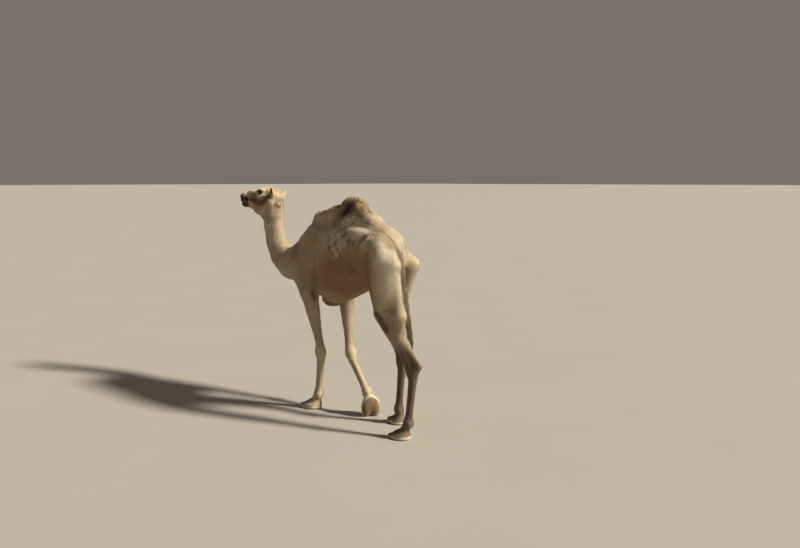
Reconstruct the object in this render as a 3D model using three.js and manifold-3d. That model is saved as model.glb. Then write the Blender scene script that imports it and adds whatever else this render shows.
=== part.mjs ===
// A dromedary camel in mid-walk, life size: three feet planted, the right fore foot just leaving the floor.
//
// Millimetres, +X the way it walks, +Y its left, +Z up, floor at z = 0. The body is one smooth volume: the
// blend of rounded "bones" (tapered limbs) and "muscles" (spindles) set between named joints. Each sub-part
// is that volume made into a faceted surface on its own grid, then parted from the next by a thin plane cut.
import * as THREE from "three";
import { mergeVertices } from "three/addons/utils/BufferGeometryUtils.js";
import Module from "manifold-3d";

const wasm = await Module();
wasm.setup();

// ---------------------------------------------------------------------------------------------------------
// Driving dimensions
// ---------------------------------------------------------------------------------------------------------
const GAP = 0.4; // width of every parting cut
const FLOOR = 0;
const TOP_OF_HUMP = 2000;
const LEFT = 1;
const RIGHT = -1;

const point = (x, y, z) => new THREE.Vector3(x, y, z);
const between = (a, b, share) => a.clone().lerp(b, share);
const moved = (p, x, y, z) => point(p.x + x, p.y + y, p.z + z);

// Neck: centre line from the chest to the poll, with [sideways, depthwise] radii.
const NECK = [
  { at: point(560, 0, 1420), girth: [150, 235] },
  { at: point(770, 0, 1341), girth: [122, 190] },
  { at: point(935, 4, 1326), girth: [104, 157] },
  { at: point(1056, 14, 1400), girth: [97, 136] },
  { at: point(1116, 28, 1530), girth: [93, 117] },
  { at: point(1137, 38, 1690), girth: [91, 115] },
  { at: point(1138, 44, 1820), girth: [89, 123] },
  { at: point(1105, 50, 1915), girth: [83, 103] },
];

// Head: a frame of its own, turned a little to the left with the nose raised. Lengths run from the poll.
const HEAD_ORIGIN = point(1053, 45, 1933);
const HEAD_YAW = 18;
const HEAD_PITCH = 7;
const EYE_RADIUS = 21;
const EYE_AT = [158, 62, 66];

// Fore legs: joint centres.
const FORELEGS = {
  left: {
    side: LEFT,
    elbow: point(430, 176, 1120),
    carpus: point(338, 115, 552),
    fetlock: point(392, 116, 145),
    foot: { at: point(462, 124, FLOOR), toesOut: 8, flexed: 0 },
  },
  right: {
    side: RIGHT,
    elbow: point(305, -166, 1110),
    carpus: point(190, -102, 530),
    fetlock: point(-84, -60, 226),
    foot: { at: point(-138, -62, 101), toesOut: 34, flexed: 84 },
  },
};

// Hind legs: joint centres.
const HINDLEGS = {
  left: {
    side: LEFT,
    stifle: point(-506, 158, 1040),
    hock: point(-800, 84, 590),
    fetlock: point(-762, 108, 146),
    foot: { at: point(-694, 122, FLOOR), toesOut: 8, flexed: 0 },
  },
  right: {
    side: RIGHT,
    stifle: point(-262, -156, 1015),
    hock: point(-498, -98, 588),
    fetlock: point(-440, -112, 140),
    foot: { at: point(-414, -128, FLOOR), toesOut: 14, flexed: 0 },
  },
};

// Chest pad: the callus it rests on when it lies down, a little lower in front.
const PAD = { at: point(275, 0, 1024), radii: [108, 80, 42], tilt: 8 };

// Tail: centre line from the root, with [sideways, depthwise] radii; the lower half carries the hair.
const TAIL = [
  { at: point(-515, 0, 1590), girth: [44, 44] },
  { at: point(-590, 26, 1506), girth: [30, 28] },
  { at: point(-634, 44, 1370), girth: [24, 21] },
  { at: point(-656, 50, 1240), girth: [24, 19] },
  { at: point(-678, 52, 1120), girth: [28, 19] },
  { at: point(-700, 53, 1000), girth: [33, 20] },
  { at: point(-726, 54, 890), girth: [24, 16] },
  { at: point(-754, 54, 806), girth: [12, 10] },
];

// ---------------------------------------------------------------------------------------------------------
// The volume: rounded forms and their smooth union
// ---------------------------------------------------------------------------------------------------------
const Y_AXIS = point(0, 1, 0);

// Axes of a form that runs from a to b: along it, sideways, and square to both.
function formAxes(a, b, sideways) {
  const along = b.clone().sub(a);
  const length = along.length();
  along.divideScalar(length);
  const side = sideways.clone().addScaledVector(along, -sideways.dot(along)).normalize();
  const front = along.clone().cross(side);
  return { along, side, front, length };
}

// Approximate distance to the surface of an ellipsoid with these semi-axes, from an offset to its centre.
function roundDistance(s, f, w, rs, rf, rw) {
  const k0 = Math.hypot(s / rs, f / rf, w / rw);
  const k1 = Math.hypot(s / (rs * rs), f / (rf * rf), w / (rw * rw));
  return k1 < 1e-9 ? -Math.min(rs, rf, rw) : (k0 * (k0 - 1)) / k1;
}

// A tapered limb with round ends. A girth is [sideways, depthwise] radius.
function bone(a, b, girthA, girthB, blend = 30, sideways = Y_AXIS) {
  const { along, side, front, length } = formAxes(a, b, sideways);
  const distance = (x, y, z) => {
    const dx = x - a.x;
    const dy = y - a.y;
    const dz = z - a.z;
    const run = dx * along.x + dy * along.y + dz * along.z;
    const t = Math.min(1, Math.max(0, run / length));
    const s = dx * side.x + dy * side.y + dz * side.z;
    const f = dx * front.x + dy * front.y + dz * front.z;
    const rs = girthA[0] + (girthB[0] - girthA[0]) * t;
    const rf = girthA[1] + (girthB[1] - girthA[1]) * t;
    return roundDistance(s, f, run - t * length, rs, rf, Math.min(rs, rf));
  };
  return { distance, blend };
}

// A spindle whose ends are a and b.
function muscle(a, b, girth, blend = 40, sideways = Y_AXIS) {
  const { along, side, front, length } = formAxes(a, b, sideways);
  const centre = between(a, b, 0.5);
  const distance = (x, y, z) => {
    const dx = x - centre.x;
    const dy = y - centre.y;
    const dz = z - centre.z;
    const s = dx * side.x + dy * side.y + dz * side.z;
    const f = dx * front.x + dy * front.y + dz * front.z;
    const w = dx * along.x + dy * along.y + dz * along.z;
    return roundDistance(s, f, w, girth[0], girth[1], length / 2);
  };
  return { distance, blend };
}

// The same form taken away instead of added.
const hollow = (form) => ({ ...form, carves: true });

// Bones through a list of { at, girth }.
function chain(stations, blend) {
  return stations
    .slice(1)
    .map((to, i) => bone(stations[i].at, to.at, stations[i].girth, to.girth, blend));
}

function smoothUnion(forms) {
  return (x, y, z) => {
    let d = Infinity;
    for (const form of forms) {
      const e = form.carves ? -form.distance(x, y, z) : form.distance(x, y, z);
      if (d === Infinity) {
        d = e;
        continue;
      }
      const overlap = Math.max(form.blend - Math.abs(d - e), 0);
      const fillet = (overlap * overlap) / (4 * form.blend);
      d = form.carves ? Math.max(d, e) + fillet : Math.min(d, e) - fillet;
    }
    return d;
  };
}

// A frame for local coordinates: ahead, to the left, and up.
function localFrame(origin, rotation) {
  const turned = new THREE.Matrix4().makeRotationFromEuler(rotation);
  return {
    at: (ahead, left, up) => point(ahead, left, up).applyMatrix4(turned).add(origin),
    left: point(0, 1, 0).applyMatrix4(turned),
    matrix: turned.clone().setPosition(origin),
  };
}

// ---------------------------------------------------------------------------------------------------------
// Body plan
// ---------------------------------------------------------------------------------------------------------
function trunkForms() {
  const forms = [
    muscle(point(-330, 0, 1470), point(625, 0, 1390), [246, 352], 60), // rib cage
    muscle(point(60, 0, 1262), point(650, 0, 1205), [150, 160], 90), // breast bone and its muscle
    muscle(point(-520, 0, 1490), point(140, 0, 1378), [208, 208], 90), // belly
    muscle(point(330, 0, 1330), point(800, 0, 1300), [150, 190], 90), // breast
    muscle(point(-40, 0, 1185), point(440, 0, 1112), [98, 116], 50), // flesh over the chest pad
    bone(point(232, 0, 1100), point(322, 0, 1087), [80, 62], [80, 62], 34), // the flesh that carries the pad
  ];
  const back = [
    { at: point(600, 0, 1582), girth: [56, 72] },
    { at: point(436, 0, 1762), girth: [58, 96] },
    { at: point(200, 0, 1796), girth: [92, 116] },
    { at: point(-20, 0, 1780), girth: [104, 124] },
    { at: point(-250, 0, 1712), girth: [88, 108] },
    { at: point(-400, 0, 1636), girth: [84, 92] },
    { at: point(-505, 0, 1582), girth: [66, 70] },
  ];
  forms.push(...chain(back, 60));
  const humpFoot = TOP_OF_HUMP - 240;
  forms.push(muscle(point(0, 0, humpFoot), point(-20, 0, TOP_OF_HUMP), [84, 168], 30));
  forms.push(bone(point(-130, 0, 1560), point(-430, 0, 1545), [168, 188], [150, 150], 80)); // loin
  forms.push(bone(point(-400, 0, 1560), point(-515, 0, 1470), [150, 120], [112, 92], 60)); // croup
  for (const side of [LEFT, RIGHT]) {
    const hip = point(-345, side * 144, 1638);
    const seat = point(-620, side * 116, 1446);
    forms.push(bone(hip, moved(hip, -60, -36 * side, -24), [48, 48], [52, 52], 80));
    forms.push(bone(moved(seat, 80, -34 * side, 40), seat, [56, 56], [40, 40], 50));
  }
  return forms;
}

function neckForms() {
  const [base, ...upper] = chain(NECK, 14);
  return [{ ...base, blend: 40 }, ...upper];
}

function forelegForms({ side, elbow, carpus, fetlock }) {
  const blade = point(430, side * 94, 1664);
  const shoulder = moved(elbow, 210, -34 * side, 215);
  const upperForearm = between(elbow, carpus, 0.3);
  const midForearm = between(elbow, carpus, 0.52);
  const lowForearm = between(elbow, carpus, 0.74);
  const midCannon = between(carpus, fetlock, 0.5);
  const lowCannon = between(carpus, fetlock, 0.85);
  return [
    bone(blade, shoulder, [42, 84], [68, 104], 70),
    bone(shoulder, elbow, [70, 112], [66, 98], 60),
    muscle(moved(elbow, 40, -34 * side, 520), moved(elbow, -62, 4 * side, -40), [68, 128], 60), // triceps
    bone(elbow, upperForearm, [66, 98], [60, 74], 40),
    bone(upperForearm, midForearm, [60, 74], [49, 56], 10),
    bone(midForearm, lowForearm, [49, 56], [38, 42], 10),
    bone(lowForearm, carpus, [38, 42], [41, 45], 10),
    muscle(between(carpus, elbow, 0.16), between(carpus, fetlock, 0.2), [50, 52], 16),
    bone(carpus, midCannon, [42, 45], [32, 37], 12),
    bone(midCannon, lowCannon, [32, 37], [32, 36], 6),
    bone(lowCannon, fetlock, [32, 36], [42, 42], 8),
  ];
}

function hindlegForms({ side, stifle, hock, fetlock }) {
  const hip = point(-452, side * 112, 1440);
  const seat = point(-580, side * 104, 1416);
  const heel = moved(hock, -64, -4 * side, 52); // point of the hock
  const backOfThigh = moved(between(stifle, hock, 0.16), -112, -18 * side, 60);
  const calf = moved(between(stifle, hock, 0.44), -52, -6 * side, 6);
  const midShank = between(stifle, hock, 0.5);
  const midCannon = between(hock, fetlock, 0.45);
  const lowCannon = between(hock, fetlock, 0.85);
  return [
    bone(hip, moved(stifle, -16, 0, 50), [92, 172], [68, 92], 60),
    muscle(moved(hip, 20, 34 * side, 190), moved(stifle, -30, 6 * side, 20), [66, 118], 60),
    bone(seat, backOfThigh, [58, 68], [50, 72], 60),
    bone(stifle, midShank, [68, 80], [52, 62], 30),
    bone(midShank, hock, [52, 62], [39, 45], 10),
    bone(backOfThigh, calf, [50, 72], [30, 36], 50),
    bone(calf, heel, [26, 30], [17, 19], 40), // the tendon to the heel
    bone(moved(hock, -12, 0, 4), heel, [30, 40], [20, 23], 30),
    muscle(between(hock, stifle, 0.14), between(hock, fetlock, 0.2), [43, 51], 18),
    bone(hock, midCannon, [40, 46], [31, 36], 12),
    bone(midCannon, lowCannon, [31, 36], [30, 34], 6),
    bone(lowCannon, fetlock, [30, 34], [39, 40], 8),
  ];
}

// A foot's frame: its origin is the middle of the sole, which faces down its -Z, and the toes point ahead.
function footFrame({ side, foot }) {
  const yaw = THREE.MathUtils.degToRad(foot.toesOut * side);
  const pitch = THREE.MathUtils.degToRad(foot.flexed);
  return localFrame(foot.at, new THREE.Euler(0, pitch, yaw, "ZYX"));
}

// Broad two-toed foot: a cushion, the pastern's root and two toes that part in front. Sizes suit a fore foot.
function footForms(leg, size) {
  const frame = footFrame(leg);
  const at = (ahead, left, up) => frame.at(ahead * size, left * size, up * size);
  const girth = (sideways, deep) => [sideways * size, deep * size];
  const forms = [
    bone(leg.fetlock, at(-26, 0, 62), [39, 38], girth(46, 44), 30),
    muscle(at(-98, 0, 22), at(88, 0, 20), girth(84, 40), 26, frame.left),
    muscle(at(-84, 0, 50), at(60, 0, 46), girth(56, 40), 34, frame.left),
  ];
  for (const side of [LEFT, RIGHT])
    forms.push(muscle(at(-70, side * 34, 26), at(112, side * 45, 18), girth(47, 42), 16, frame.left));
  return forms;
}

const head = localFrame(
  HEAD_ORIGIN,
  new THREE.Euler(0, THREE.MathUtils.degToRad(-HEAD_PITCH), THREE.MathUtils.degToRad(HEAD_YAW), "ZYX"),
);

function headForms() {
  const at = head.at;
  const form = (kind, a, b, ...rest) => kind(at(...a), at(...b), ...rest, head.left);
  const forms = [
    form(muscle, [-62, 0, 30], [160, 0, 62], [74, 76], 30), // cranium
    form(muscle, [40, 0, 78], [228, 0, 62], [66, 46], 30), // forehead
    form(bone, [186, 0, 40], [312, 0, 26], [44, 52], [36, 45], 40), // bridge of the nose
    form(bone, [312, 0, 26], [392, 0, 4], [36, 45], [36, 40], 26),
    form(bone, [110, 0, -76], [236, 0, -72], [56, 84], [38, 66], 40), // floor of the mouth
    form(bone, [236, 0, -72], [366, 0, -72], [38, 66], [29, 30], 30),
    form(bone, [96, 0, -150], [210, 0, -118], [52, 60], [34, 40], 50), // throat
    form(muscle, [352, 0, -96], [416, 0, -80], [30, 22], 16), // lower lip
  ];
  for (const side of [LEFT, RIGHT]) {
    forms.push(
      form(bone, [44, 58 * side, 4], [188, 62 * side, 30], [24, 28], [20, 22], 30), // cheek bone
      form(muscle, [122, 58 * side, 88], [212, 58 * side, 86], [27, 24], 26), // brow
      form(muscle, [2, 44 * side, -72], [196, 46 * side, -58], [34, 88], 36), // jaw muscle
      form(bone, [44, 40 * side, -130], [236, 26 * side, -112], [20, 30], [18, 22], 30), // jaw bone
      form(bone, [186, 30 * side, -30], [312, 24 * side, -34], [22, 48], [22, 36], 30), // cheek
      form(muscle, [360, 20 * side, 20], [430, 17 * side, 4], [22, 27], 18), // nostril
      form(muscle, [366, 18 * side, -42], [442, 15 * side, -34], [23, 36], 16), // upper lip
      hollow(form(muscle, [130, 92 * side, 62], [186, 92 * side, 62], [30, 24], 14)), // eye socket
    );
  }
  return forms;
}

// Ears: where each stands, and which way its hollow front faces. The left one is pricked, the right one laid back.
const EARS = {
  left: { root: [26, 60, 46], tip: [22, 98, 130], facing: [28, 70, -10] },
  right: { root: [8, -60, 44], tip: [-14, -108, 104], facing: [-44, -52, 16] },
};

// An ear: a leaf with a hollow front.
function earForms(ear) {
  const root = head.at(...ear.root);
  const tip = head.at(...ear.tip);
  const mid = between(root, tip, 0.5);
  const opening = head.at(...ear.facing).sub(HEAD_ORIGIN).normalize();
  const face = (share, depth) => between(root, tip, share).addScaledVector(opening, depth);
  const across = opening.clone().cross(tip.clone().sub(root)).normalize();
  return [
    bone(root, mid, [22, 20], [24, 17], 16, across),
    muscle(root, tip, [31, 19], 14, across),
    hollow(muscle(face(0.34, 19), face(0.96, 15), [20, 15], 8, across)),
  ];
}

const tailForms = chain(TAIL, 20);

const FORE_FOOT = 1.0;
const HIND_FOOT = 0.9;
const NAIL = { ahead: 90, aside: 45, up: 33, radii: [25, 18, 14] }; // on each toe, for a fore foot
const limbs = {
  forelegLeft: [...forelegForms(FORELEGS.left), ...footForms(FORELEGS.left, FORE_FOOT)],
  forelegRight: [...forelegForms(FORELEGS.right), ...footForms(FORELEGS.right, FORE_FOOT)],
  hindlegLeft: [...hindlegForms(HINDLEGS.left), ...footForms(HINDLEGS.left, HIND_FOOT)],
  hindlegRight: [...hindlegForms(HINDLEGS.right), ...footForms(HINDLEGS.right, HIND_FOOT)],
};
const trunk = [...trunkForms(), ...neckForms()];
const wholeTrunk = smoothUnion([
  ...trunk,
  ...limbs.forelegLeft,
  ...limbs.forelegRight,
  ...limbs.hindlegLeft,
  ...limbs.hindlegRight,
]);
const limbField = (forms) => smoothUnion([...trunk, ...forms]);
const earsBoth = [...earForms(EARS.left), ...earForms(EARS.right)];
const headField = smoothUnion([...neckForms(), ...headForms(), ...earsBoth]);

// ---------------------------------------------------------------------------------------------------------
// Surface: a net of quads round the volume, on a box grid that can be turned and stretched
// ---------------------------------------------------------------------------------------------------------
const CORNERS = [0, 1, 2, 3, 4, 5, 6, 7].map((i) => [i & 1, (i >> 1) & 1, (i >> 2) & 1]);
const CELL_EDGES = CORNERS.flatMap((c, i) =>
  [0, 1, 2].filter((axis) => !c[axis]).map((axis) => [i, i | (1 << axis)]),
);
const SLOPE_STEP = 0.5;
const PROJECTIONS = 4;
const RELAXATIONS = 3;
const SWELL = 0.06; // share of a cell by which flat faces would otherwise fall inside the curve

// Moves a point along the field's slope until it lies on the surface.
function ontoSurface(field, p) {
  for (let i = 0; i < PROJECTIONS; i++) {
    const d = field(p.x, p.y, p.z);
    const slope = point(
      field(p.x + SLOPE_STEP, p.y, p.z) - field(p.x - SLOPE_STEP, p.y, p.z),
      field(p.x, p.y + SLOPE_STEP, p.z) - field(p.x, p.y - SLOPE_STEP, p.z),
      field(p.x, p.y, p.z + SLOPE_STEP) - field(p.x, p.y, p.z - SLOPE_STEP),
    ).divideScalar(2 * SLOPE_STEP);
    p.addScaledVector(slope, -d / Math.max(slope.lengthSq(), 0.2));
  }
  return p;
}

// Evens out the net: each vertex slides toward the middle of its neighbours and back onto the surface.
function relax(field, vertices, quads, movable) {
  const neighbours = vertices.map(() => []);
  for (const ring of quads) ring.forEach((v, i) => neighbours[v].push(ring[(i + 1) % 4], ring[(i + 3) % 4]));
  for (let round = 0; round < RELAXATIONS; round++) {
    const middles = neighbours.map((list) => {
      const sum = point(0, 0, 0);
      for (const n of list) sum.add(vertices[n]);
      return sum.divideScalar(list.length);
    });
    vertices.forEach((p, i) => {
      if (movable[i]) ontoSurface(field, p.lerp(middles[i], 0.6));
    });
  }
}

// Where the inside of a cell's face touches only across its diagonal, takes the nearer of the two outer corners
// inside as well, so that no edge of the net is shared by four faces.
function joinDiagonals(values, counts) {
  const step = [1, counts[0], counts[0] * counts[1]];
  let joined = true;
  while (joined) {
    joined = false;
    for (let here = 0; here < values.length; here++)
      for (const [u, w] of [[step[0], step[1]], [step[1], step[2]], [step[2], step[0]]]) {
        const ring = [here, here + u, here + u + w, here + w];
        if (ring[2] >= values.length) continue;
        const inside = ring.map((n) => values[n] < 0);
        if (inside[0] !== inside[2] || inside[1] !== inside[3] || inside[0] === inside[1]) continue;
        const [a, b] = inside[0] ? [ring[1], ring[3]] : [ring[0], ring[2]];
        values[values[a] < values[b] ? a : b] = -1e-3;
        joined = true;
      }
  }
}

// The grid fills a box of this size, centred at `centre`, with the box's own axes in `turn`.
function netSolid(volume, { centre, size, cell, turn = new THREE.Matrix4() }) {
  const swell = SWELL * Math.min(...cell);
  const field = (x, y, z) => volume(x, y, z) - swell;
  const counts = size.map((s, i) => Math.ceil(s / cell[i]) + 1);
  const place = new THREE.Matrix4().makeTranslation(centre).multiply(turn);
  const gridPoint = (i, j, k) =>
    point(
      (i - (counts[0] - 1) / 2) * cell[0],
      (j - (counts[1] - 1) / 2) * cell[1],
      (k - (counts[2] - 1) / 2) * cell[2],
    ).applyMatrix4(place);
  const at = (i, j, k) => (k * counts[1] + j) * counts[0] + i;
  const onRim = (...ijk) => ijk.some((n, axis) => n === 0 || n === counts[axis] - 1);

  const values = new Float64Array(counts[0] * counts[1] * counts[2]);
  for (let k = 0; k < counts[2]; k++)
    for (let j = 0; j < counts[1]; j++)
      for (let i = 0; i < counts[0]; i++) {
        const p = gridPoint(i, j, k);
        const d = field(p.x, p.y, p.z);
        values[at(i, j, k)] = onRim(i, j, k) ? Math.max(d, 1) : d;
      }

  joinDiagonals(values, counts);

  const vertices = [];
  const movable = [];
  const vertexOf = new Int32Array(values.length).fill(-1);
  for (let k = 0; k < counts[2] - 1; k++)
    for (let j = 0; j < counts[1] - 1; j++)
      for (let i = 0; i < counts[0] - 1; i++) {
        const v = CORNERS.map(([a, b, c]) => values[at(i + a, j + b, k + c)]);
        const crossed = CELL_EDGES.filter(([a, b]) => v[a] < 0 !== v[b] < 0);
        if (!crossed.length) continue;
        const mean = point(0, 0, 0);
        for (const [a, b] of crossed) {
          const t = v[a] / (v[a] - v[b]);
          mean.x += CORNERS[a][0] + (CORNERS[b][0] - CORNERS[a][0]) * t;
          mean.y += CORNERS[a][1] + (CORNERS[b][1] - CORNERS[a][1]) * t;
          mean.z += CORNERS[a][2] + (CORNERS[b][2] - CORNERS[a][2]) * t;
        }
        mean.divideScalar(crossed.length);
        vertexOf[at(i, j, k)] = vertices.length;
        vertices.push(gridPoint(i + mean.x, j + mean.y, k + mean.z));
        movable.push(!CORNERS.some(([a, b, c]) => onRim(i + a, j + b, k + c)));
      }

  // Each crossed grid edge is ringed by four cells, whose vertices make a quad.
  const quads = [];
  const step = [1, counts[0], counts[0] * counts[1]];
  for (let k = 0; k < counts[2] - 1; k++)
    for (let j = 0; j < counts[1] - 1; j++)
      for (let i = 0; i < counts[0] - 1; i++)
        for (let axis = 0; axis < 3; axis++) {
          const ijk = [i, j, k];
          const alongRim = ijk[(axis + 1) % 3] === 0 || ijk[(axis + 2) % 3] === 0;
          const here = at(i, j, k);
          const inside = values[here] < 0;
          if (alongRim || inside === values[here + step[axis]] < 0) continue;
          const u = step[(axis + 1) % 3];
          const w = step[(axis + 2) % 3];
          const ring = [here - u - w, here - w, here, here - u].map((n) => vertexOf[n]);
          quads.push(inside ? ring : ring.reverse());
        }
  relax(field, vertices, quads, movable);
  const edgeName = (a, b) => Math.min(a, b) * vertices.length + Math.max(a, b);
  const edges = new Set(quads.flatMap((ring) => ring.map((v, i) => edgeName(v, ring[(i + 1) % 4]))));
  const triangles = quads.flatMap(([a, b, c, d]) => {
    const shorter = vertices[a].distanceTo(vertices[c]) <= vertices[b].distanceTo(vertices[d]);
    const split = edges.has(edgeName(b, d)) || (shorter && !edges.has(edgeName(a, c)));
    edges.add(split ? edgeName(a, c) : edgeName(b, d));
    return split ? [a, b, c, a, c, d] : [a, b, d, b, c, d];
  });
  const positions = vertices.flatMap((p) => p.toArray());
  return toManifold(new Float32Array(positions), new Uint32Array(triangles));
}

// ---------------------------------------------------------------------------------------------------------
// Solids: cutting and joining
// ---------------------------------------------------------------------------------------------------------
function toManifold(vertProperties, triVerts) {
  return new wasm.Manifold(new wasm.Mesh({ numProp: 3, vertProperties, triVerts }));
}

function geometrySolid(geometry, matrix = new THREE.Matrix4()) {
  const bare = geometry.clone().deleteAttribute("normal").deleteAttribute("uv").applyMatrix4(matrix);
  const merged = mergeVertices(bare, 1e-3);
  return toManifold(merged.attributes.position.array, new Uint32Array(merged.index.array));
}

const REACH = 4000; // side of the block that stands for a half space

// Everything on the side of the plane that `normal` points to, set back by half the parting cut.
function halfSpace(at, normal, setBack = GAP / 2) {
  const n = normal.clone().normalize();
  const turn = new THREE.Quaternion().setFromUnitVectors(point(0, 0, 1), n);
  const centre = at.clone().addScaledVector(n, REACH / 2 + setBack);
  const matrix = new THREE.Matrix4().compose(centre, turn, point(1, 1, 1));
  return geometrySolid(new THREE.BoxGeometry(REACH, REACH, REACH), matrix);
}

// The largest piece of a solid that a cut may have left in several.
function mainPiece(solid) {
  return solid.decompose().reduce((a, b) => (b.volume() > a.volume() ? b : a));
}

function cutTo(solid, ...spaces) {
  return mainPiece(spaces.reduce((left, space) => left.intersect(space), solid));
}

// ---------------------------------------------------------------------------------------------------------
// Parting planes
// ---------------------------------------------------------------------------------------------------------
const aboveFloor = halfSpace(point(0, 0, FLOOR), point(0, 0, 1), 0);
const sideSpace = (side, setBack = GAP / 2) => halfSpace(point(0, 0, 0), point(0, side, 0), setBack);

// A cut at a plane: what lies beyond it, where its normal points, and what lies before it.
const cutPlane = (at, normal) => ({
  beyond: (setBack = GAP / 2) => halfSpace(at, normal, setBack),
  before: () => halfSpace(at, normal.clone().negate()),
});
const neckCut = cutPlane(point(800, 0, 1400), point(1, 0, -0.12));
const headCut = cutPlane(head.at(-56, 0, 92), head.at(0.72, 0, 0.69).sub(HEAD_ORIGIN));
const humpCut = cutPlane(point(-25, 0, 1868), point(-0.2, 0, 1));
const armpitCut = (side) => cutPlane(point(300, side * 100, 1004), point(0, side * 0.6, -1));
const groinCut = (side) => cutPlane(point(-480, 0, 1112), point(-0.4, side * 1.05, -1));
const jointCut = (from, to, share) => cutPlane(between(from, to, share), to.clone().sub(from));

// ---------------------------------------------------------------------------------------------------------
// Sub-parts
// ---------------------------------------------------------------------------------------------------------
const camel = new THREE.Group();

const COLOURS = { coat: 0xcbb48c, horn: 0x4a4038, eye: 0x1c1410, pad: 0x5b4c3c };
const material = {
  coat: new THREE.MeshStandardMaterial({ color: COLOURS.coat, roughness: 0.9, metalness: 0 }),
  horn: new THREE.MeshStandardMaterial({ color: COLOURS.horn, roughness: 0.6, metalness: 0 }),
  eye: new THREE.MeshStandardMaterial({ color: COLOURS.eye, roughness: 0.1, metalness: 0 }),
  pad: new THREE.MeshStandardMaterial({ color: COLOURS.pad, roughness: 0.8, metalness: 0 }),
};

// Adds a solid to the camel as a mesh whose own origin is `anchor`.
function addPart(name, solid, finish, anchor) {
  const { vertProperties, triVerts, numProp } = solid.getMesh();
  const count = vertProperties.length / numProp;
  const positions = new Float32Array(count * 3);
  for (let i = 0; i < count; i++) {
    positions[i * 3] = vertProperties[i * numProp] - anchor.x;
    positions[i * 3 + 1] = vertProperties[i * numProp + 1] - anchor.y;
    positions[i * 3 + 2] = vertProperties[i * numProp + 2] - anchor.z;
  }
  const geometry = new THREE.BufferGeometry();
  geometry.setAttribute("position", new THREE.BufferAttribute(positions, 3));
  geometry.setIndex(new THREE.BufferAttribute(new Uint32Array(triVerts), 1));
  geometry.computeVertexNormals();
  const mesh = new THREE.Mesh(geometry, finish);
  mesh.name = name;
  mesh.position.copy(anchor);
  camel.add(mesh);
}

// Grid turned to run along a limb: its own Z from a to b.
function alongLimb(a, b, overhang, across, cell) {
  const axis = b.clone().sub(a);
  const length = axis.length() + 2 * overhang;
  const { along, side, front } = formAxes(a, b, Y_AXIS);
  const turn = new THREE.Matrix4().makeBasis(side, front.clone(), along.clone());
  if (turn.determinant() < 0) turn.makeBasis(side, front.negate(), along);
  return { centre: between(a, b, 0.5), size: [across[0], across[1], length], cell, turn };
}

// A ball that may be stretched, placed in a frame.
function ball(matrix, radii, columns, rows) {
  const shape = new THREE.SphereGeometry(1, columns, rows);
  return geometrySolid(shape, matrix.clone().scale(point(...radii)));
}

function buildTrunk() {
  const grid = { centre: point(50, 0, 1434), size: [1620, 640, 1160], cell: [100, 74, 78] };
  const padTurn = new THREE.Matrix4().makeRotationY(THREE.MathUtils.degToRad(PAD.tilt));
  const padFrame = padTurn.setPosition(PAD.at);
  const padRoom = ball(padFrame, PAD.radii.map((r) => r + GAP), 12, 7);
  let solid = netSolid(wholeTrunk, grid).intersect(neckCut.before()).intersect(humpCut.before());
  solid = solid.subtract(tailSolid(TAIL_ROOM)).subtract(padRoom);
  for (const side of [LEFT, RIGHT])
    for (const cut of [armpitCut(side), groinCut(side)])
      solid = solid.subtract(cut.beyond(-GAP / 2).intersect(sideSpace(side, 0)));
  addPart("trunk", mainPiece(solid), material.coat, point(0, 0, 1450));
  addPart("chest_pad", ball(padFrame, PAD.radii, 12, 7), material.pad, PAD.at);
  addPart("tail", tailSolid(0), material.coat, TAIL[1].at);
}

function buildHump() {
  const grid = { centre: point(-20, 0, 1920), size: [640, 320, 260], cell: [54, 46, 46] };
  addPart("hump", cutTo(netSolid(wholeTrunk, grid), humpCut.beyond()), material.coat, point(-20, 0, 1860));
}

function buildNeck() {
  const grid = { centre: point(1010, 25, 1580), size: [620, 320, 1060], cell: [66, 52, 70] };
  const solid = netSolid(smoothUnion([...trunk, ...headForms()]), grid);
  addPart("neck", cutTo(solid, neckCut.beyond(), headCut.before()), material.coat, NECK[3].at);
}

function buildHead() {
  const turn = new THREE.Matrix4().extractRotation(head.matrix);
  const grid = { centre: head.at(200, 0, 0), size: [620, 320, 400], cell: [32, 25, 27], turn };
  let solid = cutTo(netSolid(headField, grid), headCut.beyond());
  for (const [name, side] of [["left", LEFT], ["right", RIGHT]]) {
    const shape = EARS[name];
    const [rootOfEar, tipOfEar] = [head.at(...shape.root), head.at(...shape.tip)];
    const earRoot = between(rootOfEar, tipOfEar, 0.25);
    const outward = head.at(0, 88 * side, 40).sub(HEAD_ORIGIN).normalize();
    const earMiddle = between(rootOfEar, tipOfEar, 0.5);
    const earGrid = { centre: earMiddle, size: [130, 130, 150], cell: [15, 14, 17], turn };
    const earOnly = smoothUnion(earForms(shape));
    const ear = cutTo(netSolid(earOnly, earGrid), halfSpace(earRoot, outward));
    const eyeCentre = head.at(EYE_AT[0], EYE_AT[1] * side, EYE_AT[2]);
    const eyeFrame = new THREE.Matrix4().copy(turn).setPosition(eyeCentre);
    const socket = ball(eyeFrame, Array(3).fill(EYE_RADIUS + GAP), 10, 7);
    // Of the head, the block beyond the ear's root holds only the ear.
    const earBlock = blockFrom(earRoot, outward, 150);
    solid = mainPiece(solid.subtract(socket).subtract(earBlock));
    addPart(`ear_${name}`, ear, material.coat, earRoot);
    addPart(`eye_${name}`, ball(eyeFrame, Array(3).fill(EYE_RADIUS), 10, 7), material.eye, eyeCentre);
  }
  addPart("head", solid, material.coat, HEAD_ORIGIN);
}

// A cube of this side that starts at `at`, less half a cut, and reaches along `outward`.
function blockFrom(at, outward, side) {
  const turn = new THREE.Quaternion().setFromUnitVectors(point(0, 0, 1), outward);
  const centre = at.clone().addScaledVector(outward, side / 2 - GAP / 2);
  const matrix = new THREE.Matrix4().compose(centre, turn, point(1, 1, 1));
  return geometrySolid(new THREE.BoxGeometry(side, side, side), matrix);
}

const TAIL_ROOM = 8; // clear space kept round the tail

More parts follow.
